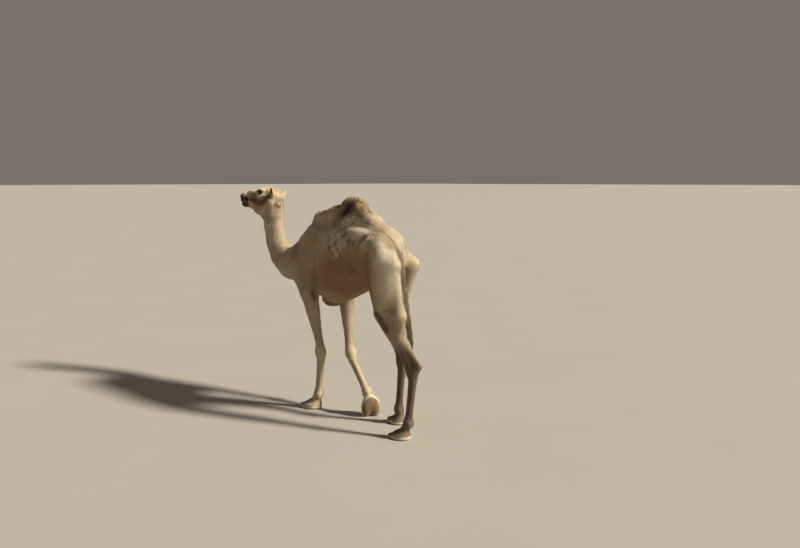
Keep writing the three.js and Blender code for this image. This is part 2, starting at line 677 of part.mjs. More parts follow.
// The tail below its root, grown by a margin.
function tailSolid(margin) {
  const field = smoothUnion(tailForms);
  const grown = (x, y, z) => field(x, y, z) - margin;
  const solid = netSolid(grown, { centre: point(-665, 20, 1160), size: [260, 190, 820], cell: [19, 17, 76] });
  return cutTo(solid, halfSpace(TAIL[1].at, TAIL[1].at.clone().sub(TAIL[0].at), margin ? -GAP / 2 : GAP / 2));
}

// Sub-parts of a leg from its upper cut to the fetlock, then the foot with its two nails.
function buildLeg(name, leg, forms, upper, sections, footSize) {
  const field = limbField(forms);
  let start = upper;
  for (const { part, from, to, end, grid } of sections) {
    const solid = netSolid(field, grid).subtract(tailSolid(TAIL_ROOM));
    const cut = jointCut(from, to, end);
    addPart(`${name}_${part}`, cutTo(solid, start, cut.before(), sideSpace(leg.side)), material.coat, from);
    start = cut.beyond();
  }
  const frame = footFrame(leg);
  const turn = new THREE.Matrix4().extractRotation(frame.matrix);
  const grid = { centre: frame.at(-30, 0, 90), size: [430, 260, 340], cell: [50, 42, 42], turn };
  let foot = netSolid(field, grid).intersect(start).intersect(aboveFloor);
  const nailRadii = NAIL.radii.map((r) => r * footSize);
  for (const [toe, side] of [["outer", leg.side], ["inner", -leg.side]]) {
    const at = frame.at(NAIL.ahead * footSize, side * NAIL.aside * footSize, NAIL.up * footSize);
    const nailFrame = new THREE.Matrix4().copy(turn).setPosition(at);
    const grown = ball(nailFrame, nailRadii.map((r) => r + GAP), 8, 5);
    const nail = ball(nailFrame, nailRadii, 8, 5).intersect(aboveFloor);
    foot = foot.subtract(grown);
    addPart(`${name}_nail_${toe}`, nail, material.horn, at);
  }
  addPart(`${name}_foot`, mainPiece(foot), material.coat, leg.foot.at);
}

function buildForeleg(name, leg, forms) {
  const { elbow, carpus, fetlock } = leg;
  const forearm = alongLimb(elbow, carpus, 90, [230, 300], [42, 42, 70]);
  const cannon = alongLimb(carpus, fetlock, 80, [150, 160], [29, 29, 62]);
  const sections = [
    { part: "forearm", from: elbow, to: carpus, end: 0.97, grid: forearm },
    { part: "cannon", from: carpus, to: fetlock, end: 0.84, grid: cannon },
  ];
  buildLeg(name, leg, forms, armpitCut(leg.side).beyond(), sections, FORE_FOOT);
}

function buildHindleg(name, leg, forms) {
  const { stifle, hock, fetlock } = leg;
  const thighCentre = point((stifle.x - 470) / 2 - 30, leg.side * 150, 1130);
  const thigh = { centre: thighCentre, size: [660, 330, 560], cell: [63, 50, 64] };
  const shank = alongLimb(stifle, hock, 110, [200, 420], [38, 40, 64]);
  const cannon = alongLimb(hock, fetlock, 110, [150, 260], [28, 32, 60]);
  const sections = [
    { part: "thigh", from: stifle, to: hock, end: 0.2, grid: thigh },
    { part: "shank", from: stifle, to: hock, end: 0.96, grid: shank },
    { part: "cannon", from: hock, to: fetlock, end: 0.85, grid: cannon },
  ];
  buildLeg(name, leg, forms, groinCut(leg.side).beyond(), sections, HIND_FOOT);
}

buildTrunk();
buildHump();
buildNeck();
buildHead();
buildForeleg("foreleg_left", FORELEGS.left, limbs.forelegLeft);
buildForeleg("foreleg_right", FORELEGS.right, limbs.forelegRight);
buildHindleg("hindleg_left", HINDLEGS.left, limbs.hindlegLeft);
buildHindleg("hindleg_right", HINDLEGS.right, limbs.hindlegRight);

// The origin is the middle of the model's footprint, on the floor.
const extent = new THREE.Box3().setFromObject(camel);
const footprint = extent.getCenter(point(0, 0, 0));
camel.position.set(-footprint.x, -footprint.y, 0);

export default camel;
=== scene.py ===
"""A dromedary camel in mid-walk, life size: one skin, a coat of solid tufts, eyes, nails and a pad.

Metres throughout. The body plan has +X the way the camel walks, +Y its left, +Z up and the floor at
z = 0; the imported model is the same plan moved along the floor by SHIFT. The skin is a net round a
smooth blend of rounded "bones" and "muscles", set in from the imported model's outline by the depth
of the coat. Places that both sides of the body share are written for its left side.
"""

import bpy
import mathutils
import numpy as np
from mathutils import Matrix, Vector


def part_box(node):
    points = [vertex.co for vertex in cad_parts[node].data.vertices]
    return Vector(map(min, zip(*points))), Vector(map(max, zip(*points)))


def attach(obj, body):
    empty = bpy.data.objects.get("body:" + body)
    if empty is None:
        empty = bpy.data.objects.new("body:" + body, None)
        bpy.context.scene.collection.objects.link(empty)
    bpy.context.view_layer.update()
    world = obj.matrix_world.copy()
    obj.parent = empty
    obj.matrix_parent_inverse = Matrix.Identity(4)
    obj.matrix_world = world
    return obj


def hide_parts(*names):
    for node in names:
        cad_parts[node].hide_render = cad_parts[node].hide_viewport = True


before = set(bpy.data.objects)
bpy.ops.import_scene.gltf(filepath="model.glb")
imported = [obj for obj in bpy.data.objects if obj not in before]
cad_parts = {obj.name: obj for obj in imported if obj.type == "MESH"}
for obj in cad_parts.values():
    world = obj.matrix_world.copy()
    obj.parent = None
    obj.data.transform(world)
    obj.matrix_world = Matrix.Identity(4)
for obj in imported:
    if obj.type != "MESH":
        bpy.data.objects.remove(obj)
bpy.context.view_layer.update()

TAU = 2 * np.pi
FAR = 1.0  # stands for "nowhere near"
LEFT, RIGHT = 1, -1
BOTH = (LEFT, RIGHT)
SIDES = {"left": LEFT, "right": RIGHT}


# ---- Vectors ----
def point(x, y, z):
    return np.array([x, y, z], dtype=float)


LEFTWARD = point(0, 1, 0)
UP = point(0, 0, 1)
DOWN = point(0, 0, -1)


def sided(side, *places):
    """Places written for the left side, on the side asked for."""
    return [point(x, side * y, z) for x, y, z in places]


def unit(v):
    return v / np.maximum(np.linalg.norm(v, axis=-1, keepdims=True), 1e-12)


def between(a, b, share):
    return a + (b - a) * share


def smooth_step(low, high, x):
    t = np.clip((x - low) / (high - low), 0, 1)
    return t * t * (3 - 2 * t)


def ripple(points, size, seed, waves=9):
    """Smooth noise, mostly between -1 and 1: plane waves about `size` long, drawn from `seed`."""
    draw = np.random.default_rng(seed)
    directions = unit(draw.normal(size=(waves, 3)))
    lengths = size * draw.uniform(0.6, 1.7, waves)
    phases = draw.uniform(0, TAU, waves)
    total = np.zeros(len(points))
    for direction, length, phase in zip(directions, lengths, phases):
        total += np.sin(points @ direction * (TAU / length) + phase)
    return total / np.sqrt(2 * waves)


class LocalFrame:
    """Coordinates of a part's own: ahead, left and up, turned by a yaw and a pitch in degrees."""

    def __init__(self, origin, yaw, pitch):
        cy, sy = np.cos(np.radians(yaw)), np.sin(np.radians(yaw))
        cp, sp = np.cos(np.radians(pitch)), np.sin(np.radians(pitch))
        about_z = np.array([[cy, -sy, 0], [sy, cy, 0], [0, 0, 1]])
        about_y = np.array([[cp, 0, sp], [0, 1, 0], [-sp, 0, cp]])
        self.origin = origin
        self.rotation = about_z @ about_y
        self.ahead, self.left, self.up = self.rotation.T

    def at(self, ahead, left, up):
        return self.origin + self.rotation @ point(ahead, left, up)

    def turn(self, ahead, left, up):
        return self.rotation @ point(ahead, left, up)


# ---- Forms ----
class Form:
    """A rounded volume from a to b: a tapered limb, or a spindle with its tips there.

    A girth is a (sideways, depthwise) radius.
    """

    def __init__(self, a, b, girth_a, girth_b, blend, sideways, spindle=False):
        self.length = np.linalg.norm(b - a)
        self.along = (b - a) / self.length
        self.side = unit(sideways - self.along * (sideways @ self.along))
        self.front = np.cross(self.along, self.side)
        self.start = (a + b) / 2 if spindle else a
        self.girth_a = girth_a
        self.girth_b = girth_b
        self.blend = blend
        self.spindle = spindle
        self.carves = False
        widest = max(*girth_a, *girth_b)
        self.low = np.minimum(a, b) - widest
        self.high = np.maximum(a, b) + widest

    def distance(self, points):
        offset = points - self.start
        run = offset @ self.along
        if self.spindle:
            wide, deep = self.girth_a
            tall = self.length / 2
        else:
            share = np.clip(run / self.length, 0, 1)
            wide = self.girth_a[0] + (self.girth_b[0] - self.girth_a[0]) * share
            deep = self.girth_a[1] + (self.girth_b[1] - self.girth_a[1]) * share
            tall = np.minimum(wide, deep)
            run = run - share * self.length
        s = (offset @ self.side) / wide
        f = (offset @ self.front) / deep
        r = run / tall
        k0 = np.sqrt(s * s + f * f + r * r)
        k1 = np.sqrt((s / wide) ** 2 + (f / deep) ** 2 + (r / tall) ** 2)
        return np.where(k0 < 1e-6, -np.minimum(wide, deep), k0 * (k0 - 1) / np.maximum(k1, 1e-9))


def bone(a, b, girth_a, girth_b, blend=0.03, sideways=LEFTWARD):
    return Form(a, b, girth_a, girth_b, blend, sideways)


def muscle(a, b, girth, blend=0.04, sideways=LEFTWARD):
    return Form(a, b, girth, girth, blend, sideways, spindle=True)


def hollow(form):
    form.carves = True
    return form


def dent(*spindle):
    """A hollow of a muscle's shape."""
    return hollow(muscle(*spindle))


def chain(stations, blend):
    """Bones through a list of (place, girth)."""
    ends = zip(stations, stations[1:])
    return [bone(a, b, girth_a, girth_b, blend) for (a, girth_a), (b, girth_b) in ends]


def cord(places, radius, blend):
    """A round line of one thickness through these places, such as a tendon or a rim."""
    return chain([(place, (radius, radius)) for place in places], blend)


def crease(places, radius, blend):
    """A line pressed in."""
    return [hollow(form) for form in cord(places, radius, blend)]


def limb(a, b, girth, *stations):
    """Bones from a to b, through stations of (share of the way, girth, blend of the bone above)."""
    forms = []
    place = a
    for share, next_girth, blend in stations:
        next_place = between(a, b, share) if share < 1 else b
        forms.append(bone(place, next_place, girth, next_girth, blend))
        place, girth = next_place, next_girth
    return forms


class Floor:
    """Takes away whatever is under the floor, with a rounded edge."""

    carves = True
    blend = 0.006
    low = np.full(3, -np.inf)
    high = np.full(3, np.inf)

    def distance(self, points):
        return points[:, 2]


# ---- Body plan: joints and centre lines ----
TOP_OF_HUMP = 2.0
NECK = [
    (point(0.56, 0, 1.42), (0.15, 0.235)),
    (point(0.77, 0, 1.341), (0.122, 0.19)),
    (point(0.935, 0.004, 1.326), (0.104, 0.157)),
    (point(1.056, 0.014, 1.4), (0.097, 0.136)),
    (point(1.116, 0.028, 1.53), (0.093, 0.117)),
    (point(1.137, 0.038, 1.69), (0.091, 0.115)),
    (point(1.138, 0.044, 1.82), (0.089, 0.123)),
    (point(1.105, 0.05, 1.915), (0.083, 0.103)),
]
TAIL = [
    (point(-0.515, 0, 1.59), (0.044, 0.044)),
    (point(-0.59, 0.026, 1.506), (0.03, 0.028)),
    (point(-0.634, 0.044, 1.37), (0.024, 0.021)),
    (point(-0.656, 0.05, 1.24), (0.024, 0.019)),
    (point(-0.678, 0.052, 1.12), (0.028, 0.019)),
    (point(-0.7, 0.053, 1.0), (0.033, 0.02)),
    (point(-0.726, 0.054, 0.89), (0.024, 0.016)),
    (point(-0.754, 0.054, 0.806), (0.012, 0.01)),
]
TAIL_LINE = [place for place, _ in TAIL]
CHEST_PAD = LocalFrame(point(0.275, 0, 1.024), yaw=0, pitch=8)
CHEST_PAD_RADII = point(0.108, 0.08, 0.042)
FORE_STEP = -0.11  # how much further back the right foreleg stands than the left

HEAD = LocalFrame(point(1.053, 0.045, 1.933), yaw=18, pitch=-7)
EYE_RADIUS = 0.021
EYE_AT = (0.158, 0.062, 0.066)  # ahead, outward and up in the head's frame
MOUTH = [  # from the middle of the lips back to the corner of the mouth, in the head's frame
    (0.444, 0.002, -0.066),
    (0.434, 0.018, -0.067),
    (0.41, 0.031, -0.068),
    (0.374, 0.041, -0.064),
    (0.338, 0.046, -0.056),
    (0.308, 0.05, -0.046),
]


def in_head(side, *places):
    """Places in the head's frame, on one side of it."""
    return [HEAD.at(ahead, left * side, up) for ahead, left, up in places]


class Leg:
    """Joint centres of a leg, and its foot's frame: the sole faces down, the toes point ahead."""

    def __init__(self, side, upper, middle, fetlock, foot_at, toes_out, flexed=0, size=1.0):
        self.side = side
        self.upper = point(*upper)
        self.middle = point(*middle)
        self.fetlock = point(*fetlock)
        self.size = size
        self.foot = LocalFrame(point(*foot_at), yaw=toes_out * side, pitch=flexed)

    def foot_point(self, ahead, left, up):
        return self.foot.at(ahead * self.size, left * self.size, up * self.size)


FORELEGS = {  # elbow, carpus, fetlock
    "left": Leg(
        LEFT, (0.43, 0.176, 1.12), (0.338, 0.115, 0.552), (0.392, 0.116, 0.145),
        foot_at=(0.462, 0.124, 0), toes_out=8,
    ),
    "right": Leg(
        RIGHT, (0.305, -0.166, 1.11), (0.19, -0.102, 0.53), (-0.084, -0.06, 0.226),
        foot_at=(-0.138, -0.062, 0.101), toes_out=34, flexed=84,
    ),
}
HINDLEGS = {  # stifle, hock, fetlock
    "left": Leg(
        LEFT, (-0.506, 0.158, 1.04), (-0.8, 0.084, 0.59), (-0.762, 0.108, 0.146),
        foot_at=(-0.694, 0.122, 0), toes_out=8, size=0.9,
    ),
    "right": Leg(
        RIGHT, (-0.262, -0.156, 1.015), (-0.498, -0.098, 0.588), (-0.44, -0.112, 0.14),
        foot_at=(-0.414, -0.128, 0), toes_out=14, size=0.9,
    ),
}
LEGS = {
    **{f"foreleg_{side}": leg for side, leg in FORELEGS.items()},
    **{f"hindleg_{side}": leg for side, leg in HINDLEGS.items()},
}


def over(legs, make):
    """make(leg) for each of the legs, joined."""
    return [form for leg in legs.values() for form in make(leg)]


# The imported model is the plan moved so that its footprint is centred.
eye_low, eye_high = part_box("eye_left")
SHIFT = (np.array(eye_low) + np.array(eye_high)) / 2 - HEAD.at(*EYE_AT)
SHIFT[2] = 0


# ---- Outer forms: the body out to the tips of its coat ----
def trunk_forms():
    rib_cage = muscle(point(-0.33, 0, 1.47), point(0.625, 0, 1.39), (0.246, 0.352), 0.06)
    breast_bone = muscle(point(0.06, 0, 1.262), point(0.65, 0, 1.205), (0.15, 0.16), 0.09)
    belly = muscle(point(-0.52, 0, 1.49), point(0.14, 0, 1.378), (0.208, 0.208), 0.09)
    breast = muscle(point(0.33, 0, 1.33), point(0.8, 0, 1.3), (0.15, 0.19), 0.09)
    over_pad = muscle(point(-0.04, 0, 1.185), point(0.44, 0, 1.112), (0.098, 0.116), 0.05)
    pad_ends = point(0.232, 0, 1.1), point(0.322, 0, 1.087)
    round_pad = bone(*pad_ends, (0.08, 0.062), (0.08, 0.062), 0.034)
    back = [
        (point(0.6, 0, 1.582), (0.056, 0.072)),
        (point(0.436, 0, 1.762), (0.058, 0.096)),
        (point(0.2, 0, 1.796), (0.092, 0.116)),
        (point(-0.02, 0, 1.78), (0.104, 0.124)),
        (point(-0.25, 0, 1.712), (0.088, 0.108)),
        (point(-0.4, 0, 1.636), (0.084, 0.092)),
        (point(-0.505, 0, 1.582), (0.066, 0.07)),
    ]
    hump_foot = point(0, 0, TOP_OF_HUMP - 0.24)
    hump = muscle(hump_foot, point(-0.02, 0, TOP_OF_HUMP), (0.084, 0.168), 0.03)
    loin = bone(point(-0.13, 0, 1.56), point(-0.43, 0, 1.545), (0.168, 0.188), (0.15, 0.15), 0.08)
    croup = bone(point(-0.4, 0, 1.56), point(-0.515, 0, 1.47), (0.15, 0.12), (0.112, 0.092), 0.06)
    forms = [rib_cage, breast_bone, belly, breast, over_pad, round_pad]
    forms += [*chain(back, 0.06), hump, loin, croup]
    for side in BOTH:
        hip, seat = sided(side, (-0.345, 0.144, 1.638), (-0.62, 0.116, 1.446))
        behind_hip = hip + point(-0.06, -0.036 * side, -0.024)
        above_seat = seat + point(0.08, -0.034 * side, 0.04)
        forms.append(bone(hip, behind_hip, (0.048, 0.048), (0.052, 0.052), 0.08))
        forms.append(bone(above_seat, seat, (0.056, 0.056), (0.04, 0.04), 0.05))
    return forms


def neck_forms():
    base, *upper = chain(NECK, 0.014)
    base.blend = 0.04
    return [base, *upper]


def foreleg_forms(leg):
    side, elbow, carpus, fetlock = leg.side, leg.upper, leg.middle, leg.fetlock
    blade = point(0.43, side * 0.094, 1.664)
    shoulder = elbow + point(0.21, -0.034 * side, 0.215)
    triceps_top = elbow + point(0.04, -0.034 * side, 0.52)
    triceps_end = elbow + point(-0.062, 0.004 * side, -0.04)
    knee_top = between(carpus, elbow, 0.16)
    knee_end = between(carpus, fetlock, 0.2)
    return [
        bone(blade, shoulder, (0.042, 0.084), (0.068, 0.104), 0.07),
        bone(shoulder, elbow, (0.07, 0.112), (0.066, 0.098), 0.06),
        muscle(triceps_top, triceps_end, (0.068, 0.128), 0.06),
        *limb(
            elbow, carpus, (0.066, 0.098),
            (0.3, (0.06, 0.074), 0.04), (0.52, (0.049, 0.056), 0.01),
            (0.74, (0.038, 0.042), 0.01), (1, (0.041, 0.045), 0.01),
        ),
        muscle(knee_top, knee_end, (0.05, 0.052), 0.016),
        *limb(
            carpus, fetlock, (0.042, 0.045),
            (0.5, (0.032, 0.037), 0.012), (0.85, (0.032, 0.036), 0.006), (1, (0.042, 0.042), 0.008),
        ),
    ]


def hindleg_forms(leg):
    side, stifle, hock, fetlock = leg.side, leg.upper, leg.middle, leg.fetlock
    hip, seat = sided(side, (-0.452, 0.112, 1.44), (-0.58, 0.104, 1.416))
    heel = hock + point(-0.064, -0.004 * side, 0.052)
    back_of_thigh = between(stifle, hock, 0.16) + point(-0.112, -0.018 * side, 0.06)
    calf = between(stifle, hock, 0.44) + point(-0.052, -0.006 * side, 0.006)
    haunch_top = hip + point(0.02, 0.034 * side, 0.19)
    haunch_end = stifle + point(-0.03, 0.006 * side, 0.02)
    hock_top = between(hock, stifle, 0.14)
    hock_end = between(hock, fetlock, 0.2)
    return [
        bone(hip, stifle + point(-0.016, 0, 0.05), (0.092, 0.172), (0.068, 0.092), 0.06),
        muscle(haunch_top, haunch_end, (0.066, 0.118), 0.06),
        bone(seat, back_of_thigh, (0.058, 0.068), (0.05, 0.072), 0.06),
        *limb(stifle, hock, (0.068, 0.08), (0.5, (0.052, 0.062), 0.03), (1, (0.039, 0.045), 0.01)),
        bone(back_of_thigh, calf, (0.05, 0.072), (0.03, 0.036), 0.05),
        bone(calf, heel, (0.026, 0.03), (0.017, 0.019), 0.04),
        bone(hock + point(-0.012, 0, 0.004), heel, (0.03, 0.04), (0.02, 0.023), 0.03),
        muscle(hock_top, hock_end, (0.043, 0.051), 0.018),
        *limb(
            hock, fetlock, (0.04, 0.046),
            (0.45, (0.031, 0.036), 0.012), (0.85, (0.03, 0.034), 0.006), (1, (0.039, 0.04), 0.008),
        ),
    ]


def foot_forms(leg):
    """Broad two-toed foot: a cushion, the root of the pastern and two toes that part in front."""
    at = leg.foot_point
    left = leg.foot.left

    def girth(sideways, deep):
        return (sideways * leg.size, deep * leg.size)

    forms = [
        bone(leg.fetlock, at(-0.026, 0, 0.062), (0.039, 0.038), girth(0.046, 0.044), 0.03),
        muscle(at(-0.098, 0, 0.022), at(0.088, 0, 0.02), girth(0.084, 0.04), 0.026, left),
        muscle(at(-0.084, 0, 0.05), at(0.06, 0, 0.046), girth(0.056, 0.04), 0.034, left),
    ]
    for side in BOTH:
        root, tip = at(-0.07, side * 0.034, 0.026), at(0.112, side * 0.045, 0.018)
        forms.append(muscle(root, tip, girth(0.047, 0.042), 0.016, left))
    return forms


def head_form(kind, a, b, *rest, side=LEFT):
    """A form with its ends given in the head's frame, on one side of it."""
    return kind(*in_head(side, a, b), *rest, HEAD.left)


def head_pair(*row):
    """The same form on both sides of the head."""
    return [head_form(*row, side=side) for side in BOTH]


# Kind of form, its ends in the head's frame, girths and blend.
MIDDLE_OF_HEAD = [
    (muscle, (-0.062, 0, 0.03), (0.16, 0, 0.062), (0.074, 0.076), 0.03),  # cranium
    (muscle, (0.04, 0, 0.078), (0.228, 0, 0.062), (0.066, 0.046), 0.03),  # forehead
    (bone, (0.186, 0, 0.04), (0.312, 0, 0.026), (0.044, 0.052), (0.036, 0.045), 0.04),  # nose
    (bone, (0.312, 0, 0.026), (0.392, 0, 0.004), (0.036, 0.045), (0.036, 0.04), 0.026),
    (bone, (0.11, 0, -0.076), (0.236, 0, -0.072), (0.056, 0.084), (0.038, 0.066), 0.04),  # jaw
    (bone, (0.236, 0, -0.072), (0.366, 0, -0.072), (0.038, 0.066), (0.029, 0.03), 0.03),
    (bone, (0.096, 0, -0.15), (0.21, 0, -0.118), (0.052, 0.06), (0.034, 0.04), 0.05),
    (muscle, (0.352, 0, -0.096), (0.416, 0, -0.08), (0.03, 0.022), 0.016),  # lower lip
]
SIDES_OF_HEAD = [  # cheek bone, brow, jaw muscle, jaw bone, cheek, nostril, upper lip, eye socket
    (bone, (0.044, 0.058, 0.004), (0.188, 0.062, 0.03), (0.024, 0.028), (0.02, 0.022), 0.03),
    (muscle, (0.122, 0.058, 0.088), (0.212, 0.058, 0.086), (0.027, 0.024), 0.026),
    (muscle, (0.002, 0.044, -0.072), (0.196, 0.046, -0.058), (0.034, 0.088), 0.036),
    (bone, (0.044, 0.04, -0.13), (0.236, 0.026, -0.112), (0.02, 0.03), (0.018, 0.022), 0.03),
    (bone, (0.186, 0.03, -0.03), (0.312, 0.024, -0.034), (0.022, 0.048), (0.022, 0.036), 0.03),
    (muscle, (0.36, 0.02, 0.02), (0.43, 0.017, 0.004), (0.022, 0.027), 0.018),
    (muscle, (0.366, 0.018, -0.042), (0.442, 0.015, -0.034), (0.023, 0.036), 0.016),
    (dent, (0.13, 0.092, 0.062), (0.186, 0.092, 0.062), (0.03, 0.024), 0.014),
]


class Ear:
    """Where an ear stands, and which way its hollow front faces."""

    def __init__(self, root, tip, facing):
        self.root = HEAD.at(*root)
        self.tip = HEAD.at(*tip)
        self.opening = unit(HEAD.turn(*facing))
        self.across = unit(np.cross(self.opening, self.tip - self.root))

    def face(self, share, out):
        """A point `share` of the way up the ear and so far out of its front."""
        return between(self.root, self.tip, share) + self.opening * out


EARS = {  # the left one is pricked, the right one laid back
    "left": Ear((0.026, 0.06, 0.046), (0.022, 0.098, 0.13), facing=(0.028, 0.07, -0.01)),
    "right": Ear((0.008, -0.06, 0.044), (-0.014, -0.108, 0.104), facing=(-0.044, -0.052, 0.016)),
}


def ear_forms(ear):
    middle = between(ear.root, ear.tip, 0.5)
    return [
        bone(ear.root, middle, (0.022, 0.02), (0.024, 0.017), 0.016, ear.across),
        muscle(ear.root, ear.tip, (0.031, 0.019), 0.014, ear.across),
        dent(ear.face(0.34, 0.019), ear.face(0.96, 0.015), (0.02, 0.015), 0.008, ear.across),
    ]


def outer_forms():
    forms = trunk_forms() + neck_forms()
    forms += over(FORELEGS, lambda leg: foreleg_forms(leg) + foot_forms(leg))
    forms += over(HINDLEGS, lambda leg: hindleg_forms(leg) + foot_forms(leg))
    forms += [head_form(*row) for row in MIDDLE_OF_HEAD]
    forms += [head_form(*row, side=side) for side in BOTH for row in SIDES_OF_HEAD]
    return forms + [form for ear in EARS.values() for form in ear_forms(ear)]


# ---- Inner forms: what the bare skin adds under the coat ----
LID_RADIUS = EYE_RADIUS + 0.0032
LID_OPENING = (0.0175, 0.01)  # half the length and half the height of the opening between the lids


class Eye:
    """Where an eye looks, and the directions along and across the opening between its lids."""

    def __init__(self, side):
        forward = HEAD.turn(1, 0, -0.22)
        self.centre = HEAD.at(EYE_AT[0], EYE_AT[1] * side, EYE_AT[2])
        self.out = unit(HEAD.turn(0.26, side, 0.06))
        self.along = unit(forward - self.out * (forward @ self.out))
        self.over = np.cross(self.along, self.out) * side

    def rim(self, turn, radius, wider=1.0):
        """A point on the lids' edge: turn 0 is its front corner, a quarter turn the upper lid."""
        along = LID_OPENING[0] * wider * np.cos(turn)
        over = LID_OPENING[1] * wider * np.sin(turn)
        out = np.sqrt(max(radius**2 - along**2 - over**2, 0))
        return self.centre + self.along * along + self.over * over + self.out * out

    def arc(self, start, end, count, raised, wider):
        """Points along the lids' edge between two turns, raised over the lids."""
        turns = np.linspace(start, end, count) * TAU
        return [self.rim(turn, LID_RADIUS + raised, wider) for turn in turns]


EYES = {name: Eye(side) for name, side in SIDES.items()}


def eye_details(eye):
    half_length, half_height = LID_OPENING
    middle = eye.centre + eye.out * 0.014
    reach = eye.along * half_length
    lid = eye.along * LID_RADIUS
    return [
        muscle(eye.centre - lid, eye.centre + lid, (LID_RADIUS,) * 2, 0.007),
        *crease(eye.arc(0.07, 0.43, 7, 0.003, 1.62), 0.0022, 0.004),
        *crease(eye.arc(0.56, 0.92, 6, -0.0005, 1.28), 0.0012, 0.003),
        dent(middle - reach, middle + reach, (half_height, 0.014), 0.0015, eye.over),
        *cord(eye.arc(0.02, 0.48, 8, 0.0004, 1.04), 0.0024, 0.002),
        *cord(eye.arc(0.54, 0.96, 7, -0.0002, 1.04), 0.0017, 0.002),
    ]


def philtrum(a, b, girth_a, girth_b):
    """A stretch of the cleft in the upper lip."""
    return hollow(head_form(bone, a, b, girth_a, girth_b, 0.005))


LINES_OF_HEAD = [  # kind of line, radius, blend and places in the head's frame
    (cord, 0.0085, 0.014,  # brow
     (0.12, 0.07, 0.082), (0.142, 0.08, 0.094), (0.168, 0.08, 0.095), (0.194, 0.07, 0.084)),
    (cord, 0.006, 0.012,  # under the eye
     (0.122, 0.076, 0.044), (0.15, 0.08, 0.035), (0.182, 0.074, 0.038), (0.206, 0.062, 0.046)),
    (crease, 0.004, 0.012,  # tears
     (0.192, 0.072, 0.052), (0.214, 0.058, 0.04), (0.24, 0.048, 0.022)),
    (cord, 0.006, 0.02,  # crest
     (0.178, 0.062, 0.02), (0.222, 0.052, 0.004), (0.266, 0.045, -0.006)),
    (crease, 0.012, 0.03, (0.066, 0.07, 0.072), (0.104, 0.076, 0.076)),  # temple
    (crease, 0.007, 0.026,  # jaw
     (0.206, 0.06, -0.01), (0.212, 0.056, -0.06), (0.196, 0.05, -0.104)),
    (cord, 0.005, 0.009,  # wing of the nostril
     (0.392, 0.034, 0.03), (0.414, 0.038, 0.02), (0.428, 0.037, 0), (0.432, 0.032, -0.018)),
    (crease, 0.005, 0.004,  # slit
     (0.398, 0.036, 0.022), (0.414, 0.036, 0.008), (0.422, 0.033, -0.01)),
    (crease, 0.0034, 0.005, *MOUTH),
]


def head_details():
    forms = [
        philtrum((0.44, 0, 0), (0.44, 0, -0.03), (0.0018, 0.005), (0.0018, 0.006)),
        philtrum((0.44, 0, -0.03), (0.434, 0, -0.07), (0.0018, 0.006), (0.0016, 0.005)),
        head_form(muscle, (0.35, 0, -0.088), (0.434, 0, -0.079), (0.027, 0.018), 0.008),  # lip
        head_form(muscle, (0.372, 0, -0.104), (0.424, 0, -0.092), (0.02, 0.012), 0.01),  # chin
    ]
    for side in BOTH:
        for kind, radius, blend, *places in LINES_OF_HEAD:
            forms += kind(in_head(side, *places), radius, blend)
    return forms


def leg_details(leg, knee_behind):
    """Tendons behind the cannon, a bump behind the joint above and a crease over the foot's pad."""
    down = unit(leg.fetlock - leg.middle)
    behind = unit(np.cross(LEFTWARD, down)) * (-1 if np.cross(LEFTWARD, down)[0] > 0 else 1)
    forms = []
    for side in BOTH:
        groove = [
            between(leg.middle, leg.fetlock, share) + behind * 0.01 + LEFTWARD * side * 0.031
            for share in (0.24, 0.5, 0.8)
        ]
        forms += crease(groove, 0.005, 0.014)
        ankle = leg.fetlock + behind * 0.026 + LEFTWARD * side * 0.016
        forms.append(bone(ankle, ankle + down * 0.02, (0.014, 0.014), (0.014, 0.014), 0.016))
    if knee_behind:
        knob = leg.middle + behind * 0.04 - down * 0.012
        forms.append(bone(knob, knob + down * 0.03, (0.012, 0.013), (0.01, 0.01), 0.02))
    at = leg.foot_point
    turns = np.linspace(0, TAU, 25)
    pad_rim = [at(0.004 + 0.104 * np.cos(turn), 0.093 * np.sin(turn), 0.03) for turn in turns]
    cleft = [at(0.07, 0, 0.064), at(0.098, 0, 0.04), at(0.112, 0, 0.006)]
    return forms + crease(pad_rim, 0.0048, 0.01) + crease(cleft, 0.006, 0.012)


